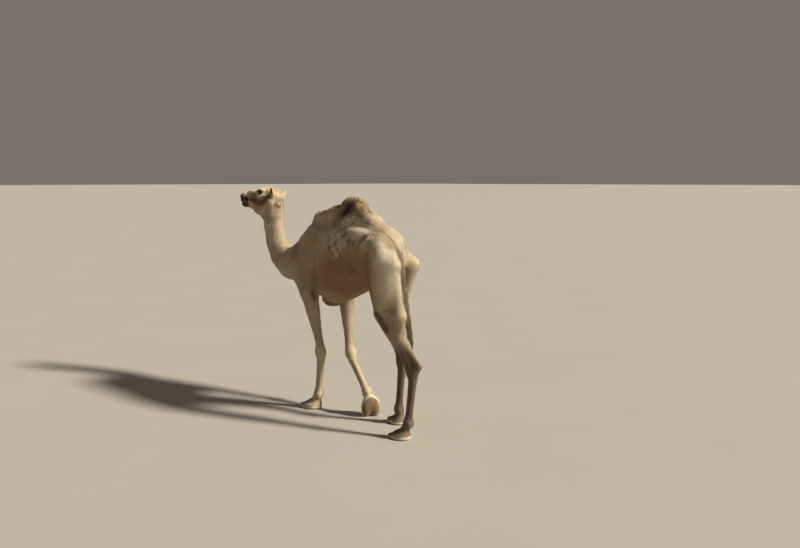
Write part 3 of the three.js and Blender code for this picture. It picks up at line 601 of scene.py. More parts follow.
def trunk_details():
    over_pad = (0.08, 0.044)
    behind_hump = (0.05, 0.02)
    forms = [
        bone(point(0.205, 0, 1.058), point(0.345, 0, 1.04), over_pad, over_pad, 0.03),
        bone(point(-0.11, 0, 1.886), point(-0.27, 0, 1.79), behind_hump, behind_hump, 0.05),
    ]
    for side in BOTH:
        back = FORE_STEP if side == RIGHT else 0
        shoulder = sided(
            side,
            (0.3, 0.17, 1.69),
            (0.262 + back * 0.5, 0.228, 1.56),
            (0.258 + back, 0.25, 1.44),
            (0.256 + back, 0.246, 1.33),
            (0.23 + back, 0.22, 1.22),
            (0.165 + back * 0.5, 0.176, 1.132),
            (0.085, 0.11, 1.085),
        )
        neck_root = sided(
            side,
            (0.486, 0.104, 1.678),
            (0.545, 0.13, 1.596),
            (0.682, 0.098, 1.506),
            (0.75, 0.1, 1.43),
        )
        thigh_fold = sided(
            side,
            (-0.372, 0.15, 1.722),
            (-0.3, 0.182, 1.664),
            (-0.236, 0.208, 1.604),
            (-0.262, 0.222, 1.53),
            (-0.3, 0.224, 1.44),
            (-0.318, 0.206, 1.33),
            (-0.33, 0.172, 1.23),
        )
        loin = sided(side, (-0.33, 0.108, 1.65), (0, 0.112, 1.644))
        flank = sided(side, (-0.25, 0.255, 1.6), (-0.11, 0.268, 1.59))
        throat = [place + point(0.03, side * (girth[0] + 0.004), 0) for place, girth in NECK[2:6]]
        forms += cord(neck_root, 0.012, 0.06)
        forms.append(muscle(*loin, (0.074, 0.084), 0.03))
        forms += crease(shoulder, 0.015, 0.028)
        if side == LEFT:
            edge = [place + point(0.034, -0.01 * side, 0.006) for place in shoulder[2:5]]
            behind_arm = sided(side, (0.318, 0.236, 1.33), (0.306, 0.226, 1.2))
            forms += cord(edge, 0.008, 0.03) + crease(behind_arm, 0.012, 0.05)
        forms += crease(thigh_fold if side == LEFT else thigh_fold[:4], 0.017, 0.032)
        forms.append(dent(*flank, (0.066, 0.07), 0.05))
        forms += crease(throat, 0.01, 0.044)
    return forms


def inner_forms():
    forms = trunk_details() + head_details()
    for eye in EYES.values():
        forms += eye_details(eye)
    forms += over(FORELEGS, lambda leg: leg_details(leg, knee_behind=True))
    forms += over(HINDLEGS, lambda leg: leg_details(leg, knee_behind=False))
    return [*forms, Floor()]


# ---- Regions of the coat ----
class Region:
    """Forms with a soft edge, and what holds inside them."""

    def __init__(self, forms, soft, **values):
        self.forms = forms
        self.soft = soft
        self.values = values
        self.low = np.min([form.low for form in forms], axis=0) - soft
        self.high = np.max([form.high for form in forms], axis=0) + soft

    def weight(self, points):
        nearest = np.min([form.distance(points) for form in self.forms], axis=0)
        return 1 - smooth_step(-self.soft, self.soft, nearest)

    def covered(self, points):
        """Numbers of the points within its reach, and its weight at each of them."""
        near = np.flatnonzero(np.all((points > self.low) & (points < self.high), axis=1))
        return near, self.weight(points[near])


def blob(centre, radius):
    """A round form about a place."""
    step = point(radius * 0.02, 0, 0)
    return bone(centre - step, centre + step, (radius, radius), (radius, radius))


def streak(radius, *places):
    """A round line through places."""
    return cord(places, radius, 0.03)


def paired(radius, *places, step=0.0):
    """A streak on both sides of the body; `step` moves the right one ahead."""
    right = [(x + step, y, z) for x, y, z in places]
    return streak(radius, *sided(LEFT, *places)) + streak(radius, *sided(RIGHT, *right))


def spots(radius, *places):
    """Blobs on both sides of the body."""
    return [blob(place, radius) for side in BOTH for place in sided(side, *places)]


def swells(a, b, girth):
    """A muscle's shape on both sides of the body."""
    return [muscle(*sided(side, a, b), girth) for side in BOTH]


def leg_line(radius, start):
    """Makes lines down legs, from part-way between the upper and middle joints to the toes."""

    def line(leg):
        top = between(leg.upper, leg.middle, start)
        foot = leg.foot_point(0, 0, 0.02), leg.foot_point(0.08, 0, 0.01)
        return streak(radius, top, leg.middle, leg.fetlock, *foot)

    return line


def foot_end(leg):
    ends = leg.foot_point(-0.14, 0, 0.01), leg.foot_point(0.15, 0, 0.01)
    return [muscle(*ends, (0.115 * leg.size, 0.075 * leg.size), 0.01, leg.foot.left)]


WHOLE_HEAD = [head_form(bone, (0.03, 0, -0.01), (0.43, 0, -0.03), (0.15, 0.16), (0.09, 0.11))]
MUZZLE = [head_form(bone, (0.33, 0, -0.036), (0.43, 0, -0.036), (0.08, 0.085), (0.08, 0.085))]
EAR_LEAVES = [
    bone(ear.face(0.3, 0), ear.face(1, 0), (0.036, 0.024), (0.036, 0.024), 0.01, ear.across)
    for ear in EARS.values()
]
EYE_RINGS = [blob(eye.centre, 0.034) for eye in EYES.values()]
TOPKNOT = [head_form(muscle, (-0.04, 0, 0.1), (0.12, 0, 0.112), (0.05, 0.03))]
JOWLS = head_pair(bone, (0.03, 0.07, -0.1), (0.08, 0.06, -0.17), (0.05, 0.06), (0.05, 0.05))
HUMP_WOOL = [muscle(point(-0.01, 0, 1.79), point(-0.03, 0, 2.06), (0.15, 0.23))]
# the hump's front: darker wool, deepened with painted shade
HUMP_FRONT = paired(0.05, (0.1, 0.11, 1.78), (0.03, 0.1, 1.85), (-0.035, 0.085, 1.915))
WITHERS_WOOL = streak(0.05, point(0.56, 0, 1.69), point(0.43, 0, 1.83), point(0.17, 0, 1.905))
SPINE = streak(0.02, point(-0.14, 0, 1.85), point(-0.4, 0, 1.735), point(-0.56, 0, 1.6))
FLANK_WOOL = swells((0.09, 0.13, 1.83), (-0.03, 0.22, 1.475), (0.09, 0.1))
FLANK_WOOL += spots(0.05, (-0.06, 0.13, 1.79))
HIP_WOOL = spots(0.07, (-0.37, 0.15, 1.68)) + spots(0.08, (-0.45, 0.18, 1.59))
THROAT = streak(
    0.046,
    *[place + point(girth[1], 0, 0.03) for place, girth in reversed(NECK[3:7])],
    NECK[2][0] + point(0.06, 0, -0.14),
)
BODY_COAT = {
    "depth": 0.0048,
    "length": 0.02,
    "width": 0.0019,
    "spacing": 0.0048,
    "tangle": 0.11,
    "lumps": 0.0,
}
COAT_REGIONS = [  # later ones lie over earlier ones
    Region(over(LEGS, leg_line(0.11, 0.55)), 0.06,
           depth=0.0042, length=0.015, width=0.0017, spacing=0.0046, tangle=0.07),
    Region(HUMP_WOOL, 0.04, depth=0.01, length=0.016, width=0.002, tangle=0.4, lumps=0.0032),
    Region(WITHERS_WOOL, 0.026, depth=0.009, length=0.017, width=0.002, tangle=0.3, lumps=0.0026),
    Region(SPINE, 0.02, depth=0.008, length=0.024, tangle=0.2),
    Region(FLANK_WOOL, 0.04, depth=0.012, length=0.015, width=0.002, tangle=0.4, lumps=0.0062),
    Region(HIP_WOOL, 0.04, depth=0.008, length=0.015, width=0.0019, tangle=0.26, lumps=0.0012),
    Region(THROAT, 0.024, depth=0.008, length=0.024, width=0.002, tangle=0.14),
    Region(WHOLE_HEAD, 0.03, depth=0.0034, length=0.01, width=0.0011, spacing=0.0028, tangle=0.08),
    Region(TOPKNOT, 0.02, depth=0.006, length=0.017, width=0.0018, tangle=0.24),
    Region(JOWLS, 0.024, depth=0.0055, length=0.02, width=0.002, spacing=0.004, tangle=0.16),
    Region(MUZZLE, 0.03, depth=0.0018, length=0.0062, width=0.0011, spacing=0.0026),
    Region(EYE_RINGS, 0.008, depth=0.0022, length=0.0056, width=0.001, spacing=0.0025),
    Region(EAR_LEAVES, 0.012,
           depth=0.0016, length=0.0105, width=0.0012, spacing=0.0028, tangle=0.16),
    Region(over(LEGS, foot_end), 0.02, depth=0.0022, length=0.009, width=0.0016, spacing=0.0042),
]


def coat_value(points, name):
    value = np.full(len(points), BODY_COAT[name])
    for region in COAT_REGIONS:
        if name in region.values:
            near, weight = region.covered(points)
            value[near] += (region.values[name] - value[near]) * weight
    return value


def clumps(points):
    """How far a place stands in a clump of wool, from -1 in a gap to 1 on a clump."""
    broad = ripple(points, size=0.034, seed=42)
    fine = ripple(points, size=0.018, seed=43)
    return np.clip(1.2 * broad + 0.9 * fine, -1, 1)


def skin_depth(points):
    """How far the skin lies in from the outer forms. It is raised under each clump of wool."""
    depth = coat_value(points, "depth")
    lumps = coat_value(points, "lumps")
    woolly = np.flatnonzero(lumps)
    if len(woolly):
        depth[woolly] -= lumps[woolly] * clumps(points[woolly])
    return depth


# ---- The skin's volume ----
CHUNK = 0.14  # side of the cubes in which points are measured together
SLOPE_STEP = 0.0004
LEAST_SLOPE = 0.3  # squared; a flatter place would be moved too far
LONGEST_MOVE = 0.02


class Volume:
    """Blended forms, set in by `depth` at each point, and then joined by finer forms."""

    def __init__(self, outer, depth, inner):
        self.forms = outer + inner
        self.low = np.array([form.low for form in self.forms])
        self.high = np.array([form.high for form in self.forms])
        self.last_outer = len(outer)
        self.depth = depth

    def distance(self, points, reach=0.04):
        result = np.empty(len(points))
        cubes = np.floor(points / CHUNK).astype(np.int64) @ np.array([1, 1000, 1000000])
        order = np.argsort(cubes, kind="stable")
        borders = np.flatnonzero(np.diff(cubes[order])) + 1
        for chunk in np.split(order, borders):
            result[chunk] = self.distance_together(points[chunk], reach)
        return result

    def distance_together(self, points, reach):
        """Distances of points near each other, measured from the forms within their reach."""
        before_end, past_start = self.low - reach < points.max(0), self.high + reach > points.min(0)
        near = np.all(before_end & past_start, axis=1)
        total = np.full(len(points), FAR)
        inset = False
        for number in np.flatnonzero(near):
            form = self.forms[number]
            if number >= self.last_outer and not inset:
                total = total + self.depth(points)
                inset = True
            d = -form.distance(points) if form.carves else form.distance(points)
            overlap = np.maximum(form.blend - np.abs(total - d), 0)
            fillet = overlap * overlap / (4 * form.blend)
            total = np.maximum(total, d) + fillet if form.carves else np.minimum(total, d) - fillet
        return total if inset else total + self.depth(points)

    def slope(self, points):
        """Distance and its gradient."""
        count = len(points)
        steps = np.vstack([np.zeros(3), np.eye(3) * SLOPE_STEP])
        probes = (points[None] + steps[:, None]).reshape(-1, 3)
        d = self.distance(probes).reshape(4, count)
        return d[0], ((d[1:] - d[0]) / SLOPE_STEP).T

    def onto(self, points, steps=3):
        """Moves points along the slope until they lie on the surface."""
        for _ in range(steps):
            d, slope = self.slope(points)
            move = -d / np.maximum((slope * slope).sum(1), LEAST_SLOPE)
            points = points + slope * np.clip(move, -LONGEST_MOVE, LONGEST_MOVE)[:, None]
        return points


# ---- Surface nets ----
CORNERS = np.array([[i & 1, i >> 1 & 1, i >> 2 & 1] for i in range(8)])
CELL_EDGES = [(a, a | 1 << axis) for a in range(8) for axis in range(3) if not a >> axis & 1]
BLOCK = 8  # cells along a side of the blocks that are measured or left out together
BLOCK_REACH = 0.16


def grid_lines(*stretches):
    """Lines along an axis, from (start, end, spacing) stretches that follow each other."""
    lines = [np.arange(start, end - step / 2, step) for start, end, step in stretches]
    return np.concatenate(lines)


class Grid:
    """Grid lines that may be drawn in and moved over, across the body, where `crowd` says."""

    def __init__(self, x, y, z, crowd=None):
        self.lines = (x, y, z)
        self.shape = (len(x), len(y), len(z))
        self.crowd = crowd

    def place(self, index):
        counted = [np.arange(count) for count in self.shape]
        x, y, z = (np.interp(index[..., n], counted[n], self.lines[n]) for n in range(3))
        if self.crowd:
            scale, centre = self.crowd(x, z)
            y = y * scale + centre
        return np.stack([x, y, z], axis=-1)


HEAD_SCALE = 0.45
HEAD_CENTRE = 0.09


def round_head(x, z):
    """Across the head, grid lines are closer, about the head's own middle."""
    near = smooth_step(0.94, 1.04, x) * smooth_step(1.68, 1.78, z)
    return 1 - (1 - HEAD_SCALE) * near, HEAD_CENTRE * near


def indices(*ranges):
    """Every index within ranges along the three axes, in order."""
    return np.stack(np.meshgrid(*ranges, indexing="ij"), -1).reshape(-1, 3)


def measured(volume, grid):
    """The volume's distance at each grid point near the surface, and FAR or -FAR elsewhere."""
    values = np.full(grid.shape, FAR)
    starts = indices(*[np.arange(0, n, BLOCK) for n in grid.shape])
    middles = grid.place(starts + BLOCK / 2)
    corners = [grid.place(starts + corner * BLOCK) for corner in CORNERS]
    radius = np.max([np.linalg.norm(corner - middles, axis=1) for corner in corners], axis=0)
    d = volume.distance(middles, reach=BLOCK_REACH)
    local = indices(*[np.arange(BLOCK)] * 3)
    near = np.abs(d) < radius * 1.5 + 0.02
    for start in starts[~near & (d < 0)]:
        i, j, k = start
        values[i : i + BLOCK, j : j + BLOCK, k : k + BLOCK] = -FAR
    index = (starts[near][:, None] + local[None]).reshape(-1, 3)
    index = index[np.all(index < grid.shape, axis=1)]
    values[tuple(index.T)] = volume.distance(grid.place(index.astype(float)))
    return values


def surface_net(volume, grid):
    """Vertices and quads round the volume: one vertex in each cell that the surface crosses."""
    values = measured(volume, grid)
    inside = values < 0
    windows = [
        inside[a : a + grid.shape[0] - 1, b : b + grid.shape[1] - 1, c : c + grid.shape[2] - 1]
        for a, b, c in CORNERS
    ]
    crossed = np.any(windows, axis=0) & ~np.all(windows, axis=0)
    cells = np.argwhere(crossed)
    vertex_of = np.full(crossed.shape, -1, dtype=np.int64)
    vertex_of[crossed] = np.arange(len(cells))
    total = np.zeros((len(cells), 3))
    count = np.zeros(len(cells))
    for a, b in CELL_EDGES:
        at_a = values[tuple((cells + CORNERS[a]).T)]
        at_b = values[tuple((cells + CORNERS[b]).T)]
        cut = (at_a < 0) != (at_b < 0)
        share = at_a[cut] / (at_a[cut] - at_b[cut])
        total[cut] += CORNERS[a] + (CORNERS[b] - CORNERS[a]) * share[:, None]
        count[cut] += 1
    vertices = grid.place(cells + total / count[:, None])
    quads = []
    for axis in range(3):
        ahead = np.zeros(3, dtype=int)
        ahead[axis] = 1
        across = np.roll(ahead, 1)
        beyond = np.roll(ahead, 2)
        here = inside[1:-1, 1:-1, 1:-1]
        there = inside[tuple(slice(1 + step, n - 1 + step) for step, n in zip(ahead, grid.shape))]
        for leaving in (True, False):
            edges = np.argwhere((here == leaving) & (there != leaving)) + 1
            ring = [edges - across - beyond, edges - beyond, edges, edges - across]
            quad = np.stack([vertex_of[tuple(cell.T)] for cell in ring], axis=1)
            quads.append(quad if leaving else quad[:, ::-1])
    return vertices, np.concatenate(quads)


def relaxed(volume, vertices, polygons, rounds, share=0.5):
    """Slides each vertex toward the middle of its neighbours and back onto the surface."""
    starts = np.concatenate([polygon.ravel() for polygon in polygons])
    ends = np.concatenate([np.roll(polygon, -1, axis=1).ravel() for polygon in polygons])
    a = np.concatenate([starts, ends])
    b = np.concatenate([ends, starts])
    count = np.bincount(a, minlength=len(vertices))[:, None]
    for _ in range(rounds):
        sums = [np.bincount(a, weights=vertices[b, n], minlength=len(vertices)) for n in range(3)]
        middle = np.stack(sums, axis=1) / np.maximum(count, 1)
        vertices = volume.onto(vertices + (middle - vertices) * share * (count > 0), steps=1)
    return vertices


def refined(vertices, quads, chosen):
    """Splits the chosen quads in four. Those beside them come back apart, with the new corners."""
    n = len(vertices)
    ends = np.sort(np.stack([quads, np.roll(quads, -1, axis=1)], axis=-1), axis=-1)
    keys = ends[..., 0] * n + ends[..., 1]
    split, inverse = np.unique(keys[chosen], return_inverse=True)
    halfway = (vertices[split // n] + vertices[split % n]) / 2
    centres = vertices[quads[chosen]].mean(axis=1)
    side = n + inverse.reshape(-1, 4)
    centre = n + len(split) + np.arange(len(centres))
    corner = quads[chosen]
    quarters = [
        np.stack([corner[:, i], side[:, i], centre, side[:, i - 1]], axis=1) for i in range(4)
    ]
    rest, rest_keys = quads[~chosen], keys[~chosen]
    where = np.minimum(np.searchsorted(split, rest_keys), len(split) - 1)
    touched = split[where] == rest_keys
    beside = touched.any(axis=1)
    borders = {}
    for quad, cuts, places in zip(rest[beside], touched[beside], n + where[beside]):
        polygon = [v for i in range(4) for v in ([quad[i], places[i]] if cuts[i] else [quad[i]])]
        borders.setdefault(len(polygon), []).append(polygon)
    vertices = np.concatenate([vertices, halfway, centres])
    quads = np.concatenate([rest[~beside], *quarters])
    return vertices, quads, [np.array(border) for border in borders.values()]


# ---- Colours of skin and coat ----
def rgb(code):
    """Linear colour from a "#rrggbb" one."""
    srgb = np.array([int(code[i : i + 2], 16) for i in (1, 3, 5)]) / 255
    return np.where(srgb <= 0.04045, srgb / 12.92, ((srgb + 0.055) / 1.055) ** 2.4)


CREAM = rgb("#dfcfb0")
PALE = rgb("#f0e6cd")
FAWN = rgb("#bfa57f")
REDDISH = rgb("#946a4c")
BROWN = rgb("#85684b")
UMBER = rgb("#5b4534")
DARK = rgb("#3a2d25")
BLACKISH = rgb("#211c1a")
RUST = rgb("#8a4523")
YELLOWISH = rgb("#cbb07a")
PAD_SIDE = rgb("#e6d9bd")
SOLE = rgb("#80694a")
PINK = rgb("#d4a08c")


class Mark:
    """A colour laid over a region, whole or broken into patches of a size."""

    def __init__(self, forms, soft, colour, strength, patches=None, seed=0):
        self.region = Region(forms, soft)
        self.colour = colour
        self.strength = strength
        self.patches = patches
        self.seed = seed

    def lay(self, points, colours):
        near, weight = self.region.covered(points)
        weight *= self.strength
        if self.patches:
            weight *= smooth_step(-0.35, 0.35, ripple(points[near], self.patches, self.seed))
        colours[near] += (self.colour - colours[near]) * weight[:, None]


def elbow_patch(leg):
    """Bare skin low behind the elbow."""
    out = leg.side * 0.045
    top, end = point(-0.104, out, 0.004), point(-0.104, out * 0.5, -0.056)
    return streak(0.03, leg.upper + top, leg.upper + end)


def stifle_callus(leg):
    """Callus on the front edge of the hind leg, below the stifle."""
    line = sided(leg.side, (-0.006, 0.062, 0.004), (-0.04, 0.052, -0.065), (-0.08, 0.038, -0.125))
    return streak(0.034, *[leg.upper + place for place in line])


def on_leg(joint, ahead, left, up, radius):
    """Makes blobs beside a joint of legs."""
    return lambda leg: [blob(getattr(leg, joint) + point(ahead, leg.side * left, up), radius)]


# Where the body's shadow falls across the forearm.
def upper_forearm(leg):
    return streak(0.09, leg.upper + point(0, 0, 0.1), between(leg.upper, leg.middle, 0.7))


def head_cords(radius, *places, blend=0.02):
    """Round lines through places in the head's frame, on both sides of it."""
    return [form for side in BOTH for form in cord(in_head(side, *places), radius, blend)]


TRUNK_MARKS = [  # forms, softness, colour, strength, and the size and seed of any patches
    ([bone(point(-0.3, 0, 1.16), point(0.3, 0, 1.13), (0.26, 0.16), (0.26, 0.16))],
     0.12, FAWN, 0.55),
    # reddish flank and belly, darkened further as painted shade
    (swells((-0.42, 0.2, 1.33), (0.3, 0.2, 1.29), (0.2, 0.24)), 0.14, REDDISH, 0.72),
    (paired(0.034, (-0.204, 0.214, 1.39), (-0.17, 0.22, 1.37)), 0.036, UMBER, 0.45),
    # painted shade in the hollow behind the upper arm
    (paired(0.028, (0.3, 0.233, 1.33), (0.298, 0.215, 1.23), (0.3, 0.2, 1.16), step=FORE_STEP),
     0.04, UMBER, 0.55),
    # painted shade along the shoulder crease
    (paired(0.012, (0.262, 0.228, 1.56), (0.258, 0.25, 1.44), (0.256, 0.246, 1.33), step=FORE_STEP),
     0.016, UMBER, 0.35),
    # painted shadow of the body on the upper forearms
    (over(FORELEGS, upper_forearm), 0.07, BROWN, 0.28),
    # painted light behind the fore knees
    (over(FORELEGS, on_leg("middle", -0.04, 0.02, 0.01, 0.06)), 0.04, PALE, 0.6),
    # painted shade along the fold in front of the thigh
    (paired(0.016, (-0.317, 0.125, 1.715), (-0.29, 0.165, 1.664), (-0.232, 0.188, 1.6),
            (-0.24, 0.205, 1.54)), 0.018, UMBER, 0.6),
    (HUMP_WOOL, 0.05, FAWN, 0.75),
    (HUMP_WOOL, 0.04, BROWN, 0.48, 0.024, 11),
    (paired(0.04, (-0.098, 0.102, 1.805), (-0.217, 0.108, 1.75)), 0.03, PALE, 0.45, 0.026, 18),
    # dark wool on the hump's front, deepened with painted shade
    (HUMP_FRONT, 0.04, DARK, 0.92),
    (WITHERS_WOOL, 0.02, UMBER, 0.45, 0.036, 12),
    (SPINE, 0.016, BROWN, 0.3),
    # painted shadow of the back's crest, beside the spine
    (paired(0.008, (-0.24, 0.09, 1.78), (-0.337, 0.074, 1.76), (-0.48, 0.082, 1.695),
            (-0.546, 0.066, 1.639), (-0.599, 0.05, 1.551)), 0.012, BROWN, 0.75),
    # painted light on the sunlit shelf behind the hump
    (paired(0.042, (-0.087, 0.13, 1.737), (-0.183, 0.125, 1.724), (-0.288, 0.128, 1.704)),
     0.034, PALE, 0.95),
    (FLANK_WOOL, 0.05, PALE, 0.55),
    # painted shade in the hollow under the flank's wool, broken into patches
    (paired(0.03, (0.01, 0.148, 1.722), (-0.05, 0.162, 1.685), (-0.125, 0.186, 1.63),
            (-0.185, 0.188, 1.606)), 0.024, DARK, 0.66, 0.034, 10),
    (HIP_WOOL, 0.06, BROWN, 0.45, 0.016, 15),
    # painted shade in the groove behind the thigh
    (paired(0.014, (-0.6, 0.182, 1.48), (-0.628, 0.18, 1.38), (-0.644, 0.172, 1.3)),
     0.018, UMBER, 0.5),
    # painted shadow beside the tail, on the left buttock
    (streak(0.014, *sided(LEFT, (-0.59, 0.05, 1.56), (-0.64, 0.075, 1.45), (-0.668, 0.088, 1.3),
                          (-0.705, 0.1, 1.15))), 0.014, DARK, 0.8),
    # painted shade on the neck's base and the shoulder
    (paired(0.12, (0.64, 0.15, 1.5), (0.44, 0.18, 1.46), (0.42, 0.17, 1.25)), 0.12, BROWN, 0.38),
    # painted light on the back of the haunch
    (paired(0.07, (-0.5, 0.2, 1.56), (-0.6, 0.17, 1.4), (-0.6, 0.16, 1.22)), 0.06, PALE, 0.85),
    # painted shade on the front of the thigh
    (paired(0.06, (-0.37, 0.2, 1.44), (-0.4, 0.2, 1.26), (-0.44, 0.19, 1.13)), 0.07, BROWN, 0.66),
    # pale throat hair, brightened further as painted highlight on the throat's ridge
    (THROAT, 0.02, PALE, 0.95),
]
LEG_MARKS = [
    (over(FORELEGS, leg_line(0.1, 0.7)), 0.1, FAWN, 0.3),
    (over(HINDLEGS, leg_line(0.11, 0.3)), 0.12, BROWN, 0.45),
    # dark brown lower hind legs, deepened with painted shade
    (over(HINDLEGS, leg_line(0.08, 0.75)), 0.1, UMBER, 0.92),
    (over(HINDLEGS, on_leg("upper", -0.13, 0.044, 0.03, 0.06)), 0.04, UMBER, 0.42, 0.022, 19),
    # dark bare callus behind the elbow, widened with painted shade from the armpit
    (over(FORELEGS, elbow_patch), 0.02, DARK, 0.85),
    (over(HINDLEGS, stifle_callus), 0.018, DARK, 0.88),
    (over(FORELEGS, on_leg("middle", 0.04, 0.008, 0.006, 0.026)), 0.018, UMBER, 0.75),
    (chain(TAIL, 0.02), 0.012, BROWN, 0.55),
    (chain(TAIL[2:], 0.02), 0.02, UMBER, 0.62),
    (chain(TAIL[5:], 0.02), 0.024, UMBER, 0.8),
]
NAPE = in_head(LEFT, (-0.044, 0.036, -0.04)) + in_head(RIGHT, (-0.044, 0.036, -0.04))
BELOW_NAPE = [
    place + HEAD.ahead * 0.022 + HEAD.left * 0.022 * side for place, side in zip(NAPE, BOTH)
]
EYEBALLS = [eye.centre + eye.out * 0.012 for eye in EYES.values()]
HEAD_MARKS = [
    (WHOLE_HEAD, 0.05, FAWN, 0.25),
    (head_cords(0.016, (0.241, 0.042, 0.046), (0.183, 0.07, 0.06)), 0.014, YELLOWISH, 0.75),
    ([head_form(bone, (0.02, 0, 0.112), (0.2, 0, 0.108), (0.05, 0.026), (0.036, 0.022))],
     0.024, FAWN, 0.6),  # forehead
    (head_cords(0.032, (0.3, 0.046, -0.014), (0.234, 0.056, -0.036), (0.15, 0.078, -0.034),
                (0.1, 0.08, 0), (0.066, 0.08, 0.036)), 0.028, UMBER, 0.84),  # cheek: brown hair, deepened with painted shade
    (head_cords(0.012, (0.246, 0.054, 0.004), (0.244, 0.054, -0.024)), 0.012, DARK, 0.7),
    (head_cords(0.02, (0.308, 0.04, 0.046), (0.27, 0.044, 0.036)), 0.014, DARK, 0.72),
    (head_cords(0.014, (0.05, 0.086, 0.008), (0.07, 0.086, -0.055), (0.03, 0.082, -0.09)),
     0.022, PALE, 0.8, 0.024, 21),
    ([blob(place, 0.026) for place in BELOW_NAPE], 0.014, UMBER, 0.75, 0.03, 23),
    ([blob(place, 0.024) for place in NAPE], 0.012, RUST, 0.85, 0.04, 22),
    (head_cords(0.009, (0.15, 0.07, -0.096), (0.154, 0.07, -0.104)), 0.006, PINK, 0.7),
    ([head_form(bone, (0.33, 0, 0.062), (0.41, 0, 0.044), (0.034, 0.02), (0.03, 0.018))],
     0.018, BROWN, 0.3),  # nose
    ([head_form(bone, (0.362, 0, -0.026), (0.45, 0, -0.028), (0.062, 0.034), (0.062, 0.056)),
      head_form(bone, (0.352, 0, -0.076), (0.43, 0, -0.082), (0.05, 0.036), (0.05, 0.036))],
     0.022, BLACKISH, 0.92),  # muzzle
    (head_cords(0.004, *MOUTH, blend=0.01), 0.003, BLACKISH, 1),
    (head_cords(0.007, (0.4, 0.044, 0.014), (0.386, 0.046, -0.004), (0.378, 0.046, -0.024)),
     0.007, PALE, 0.5),
    ([blob(place, 0.024) for place in EYEBALLS], 0.006, BLACKISH, 0.96),
    (head_cords(0.006, (0.192, 0.072, 0.052), (0.21, 0.062, 0.044)), 0.008, DARK, 0.6),
    # painted highlight along the ridge under the eye
    (head_cords(0.0065, (0.196, 0.074, 0.03), (0.176, 0.08, 0.03), (0.155, 0.083, 0.034),
                (0.136, 0.083, 0.046), (0.122, 0.08, 0.06)), 0.005, PALE, 0.85),
    (EAR_LEAVES, 0.01, FAWN, 0.35),
    # dark hollow of the ears, deepened with painted shade
    ([bone(ear.face(0.36, 0.01), ear.face(0.92, 0.008), (0.02, 0.012), (0.014, 0.01), 0.01,
           ear.across) for ear in EARS.values()], 0.006, UMBER, 0.85),
]


def foot_marks(leg):
    at = leg.foot_point
    turns = np.linspace(0, TAU, 13)
    rim = [at(0.004 + 0.1 * np.cos(turn), 0.09 * np.sin(turn), 0.012) for turn in turns]
    toes = [
        bone(at(0.02, side * 0.036, 0.056), at(0.096, side * 0.044, 0.04),
             (0.024, 0.018), (0.02, 0.014), 0.01, leg.foot.left)
        for side in BOTH
    ]
    sole = muscle(at(-0.16, 0, -0.03), at(0.17, 0, -0.03), (0.13, 0.04), 0.01, leg.foot.left)
    return [
        (streak(0.034, at(0.01, 0, 0.14), at(0.07, 0, 0.07)), 0.024, UMBER, 0.6),
        (toes, 0.016, UMBER, 0.85),
        (cord(rim, 0.02, 0.01), 0.008, PAD_SIDE, 0.85),
        ([sole], 0.008, SOLE, 1),
    ]


MARK_ROWS = TRUNK_MARKS + LEG_MARKS + HEAD_MARKS + over(LEGS, foot_marks)
MARKS = [Mark(*row) for row in MARK_ROWS]


DRIFT = 0.35  # how far the cream drifts toward fawn over the whole body
SHADE = 0.06  # and how much lighter and darker it is from place to place
PAINTED_CLUMP_SHADING = 0.55  # or from clump to gap in the wool, as painted light on the clumps and painted shade in the gaps
WOOLLY = 0.003  # height of clumps from which the wool takes its whole painted light and shade


def coat_colour(points):
    """Colour of skin and coat at places on the body."""
    colours = np.tile(CREAM, (len(points), 1))
    broad = smooth_step(-0.9, 0.9, ripple(points, size=0.34, seed=31))[:, None]
    colours += (FAWN - colours) * broad * DRIFT
    for mark in MARKS:
        mark.lay(points, colours)
    woolly = np.minimum(coat_value(points, "lumps") / WOOLLY, 1)
    shade = SHADE * ripple(points, size=0.055, seed=32)
    # painted light on clumps of wool and painted shade in the gaps between them
    light = 1 + shade + PAINTED_CLUMP_SHADING * woolly * np.clip(clumps(points) + 0.1, -1, 1)
    return np.clip(colours * light[:, None], 0, 1)


def sole_region(leg):
    ends = leg.foot_point(-0.14, 0, -0.036), leg.foot_point(0.15, 0, -0.036)
    return Region([muscle(*ends, (0.108, 0.048), 0.01, leg.foot.left)], 0.006)


LIP_CLEFT = head_form(bone, (0.438, 0, -0.004), (0.44, 0, -0.03), (0.012, 0.01), (0.007, 0.01))
NOSTRIL_GIRTH = (0.009, 0.009)
NOSTRILS = head_pair(bone, (0.4, 0.036, 0.02), (0.422, 0.033, -0.01), NOSTRIL_GIRTH, NOSTRIL_GIRTH)
LIPS = head_cords(0.0055, *MOUTH[:5], blend=0.01)
BARE = [  # where no hair grows
    Region([LIP_CLEFT], 0.004),
    Region(LIPS, 0.002),
    Region(NOSTRILS, 0.003),
    Region([blob(place, 0.0185) for place in EYEBALLS], 0.002),
    Region(over(HINDLEGS, stifle_callus), 0.008),
    Region(over(FORELEGS, elbow_patch), 0.008),
    *[sole_region(leg) for leg in LEGS.values()],
]


def bareness(points):
    bare = np.zeros(len(points))
    for region in BARE:
        near, weight = region.covered(points)
        bare[near] = np.maximum(bare[near], weight)
    return bare


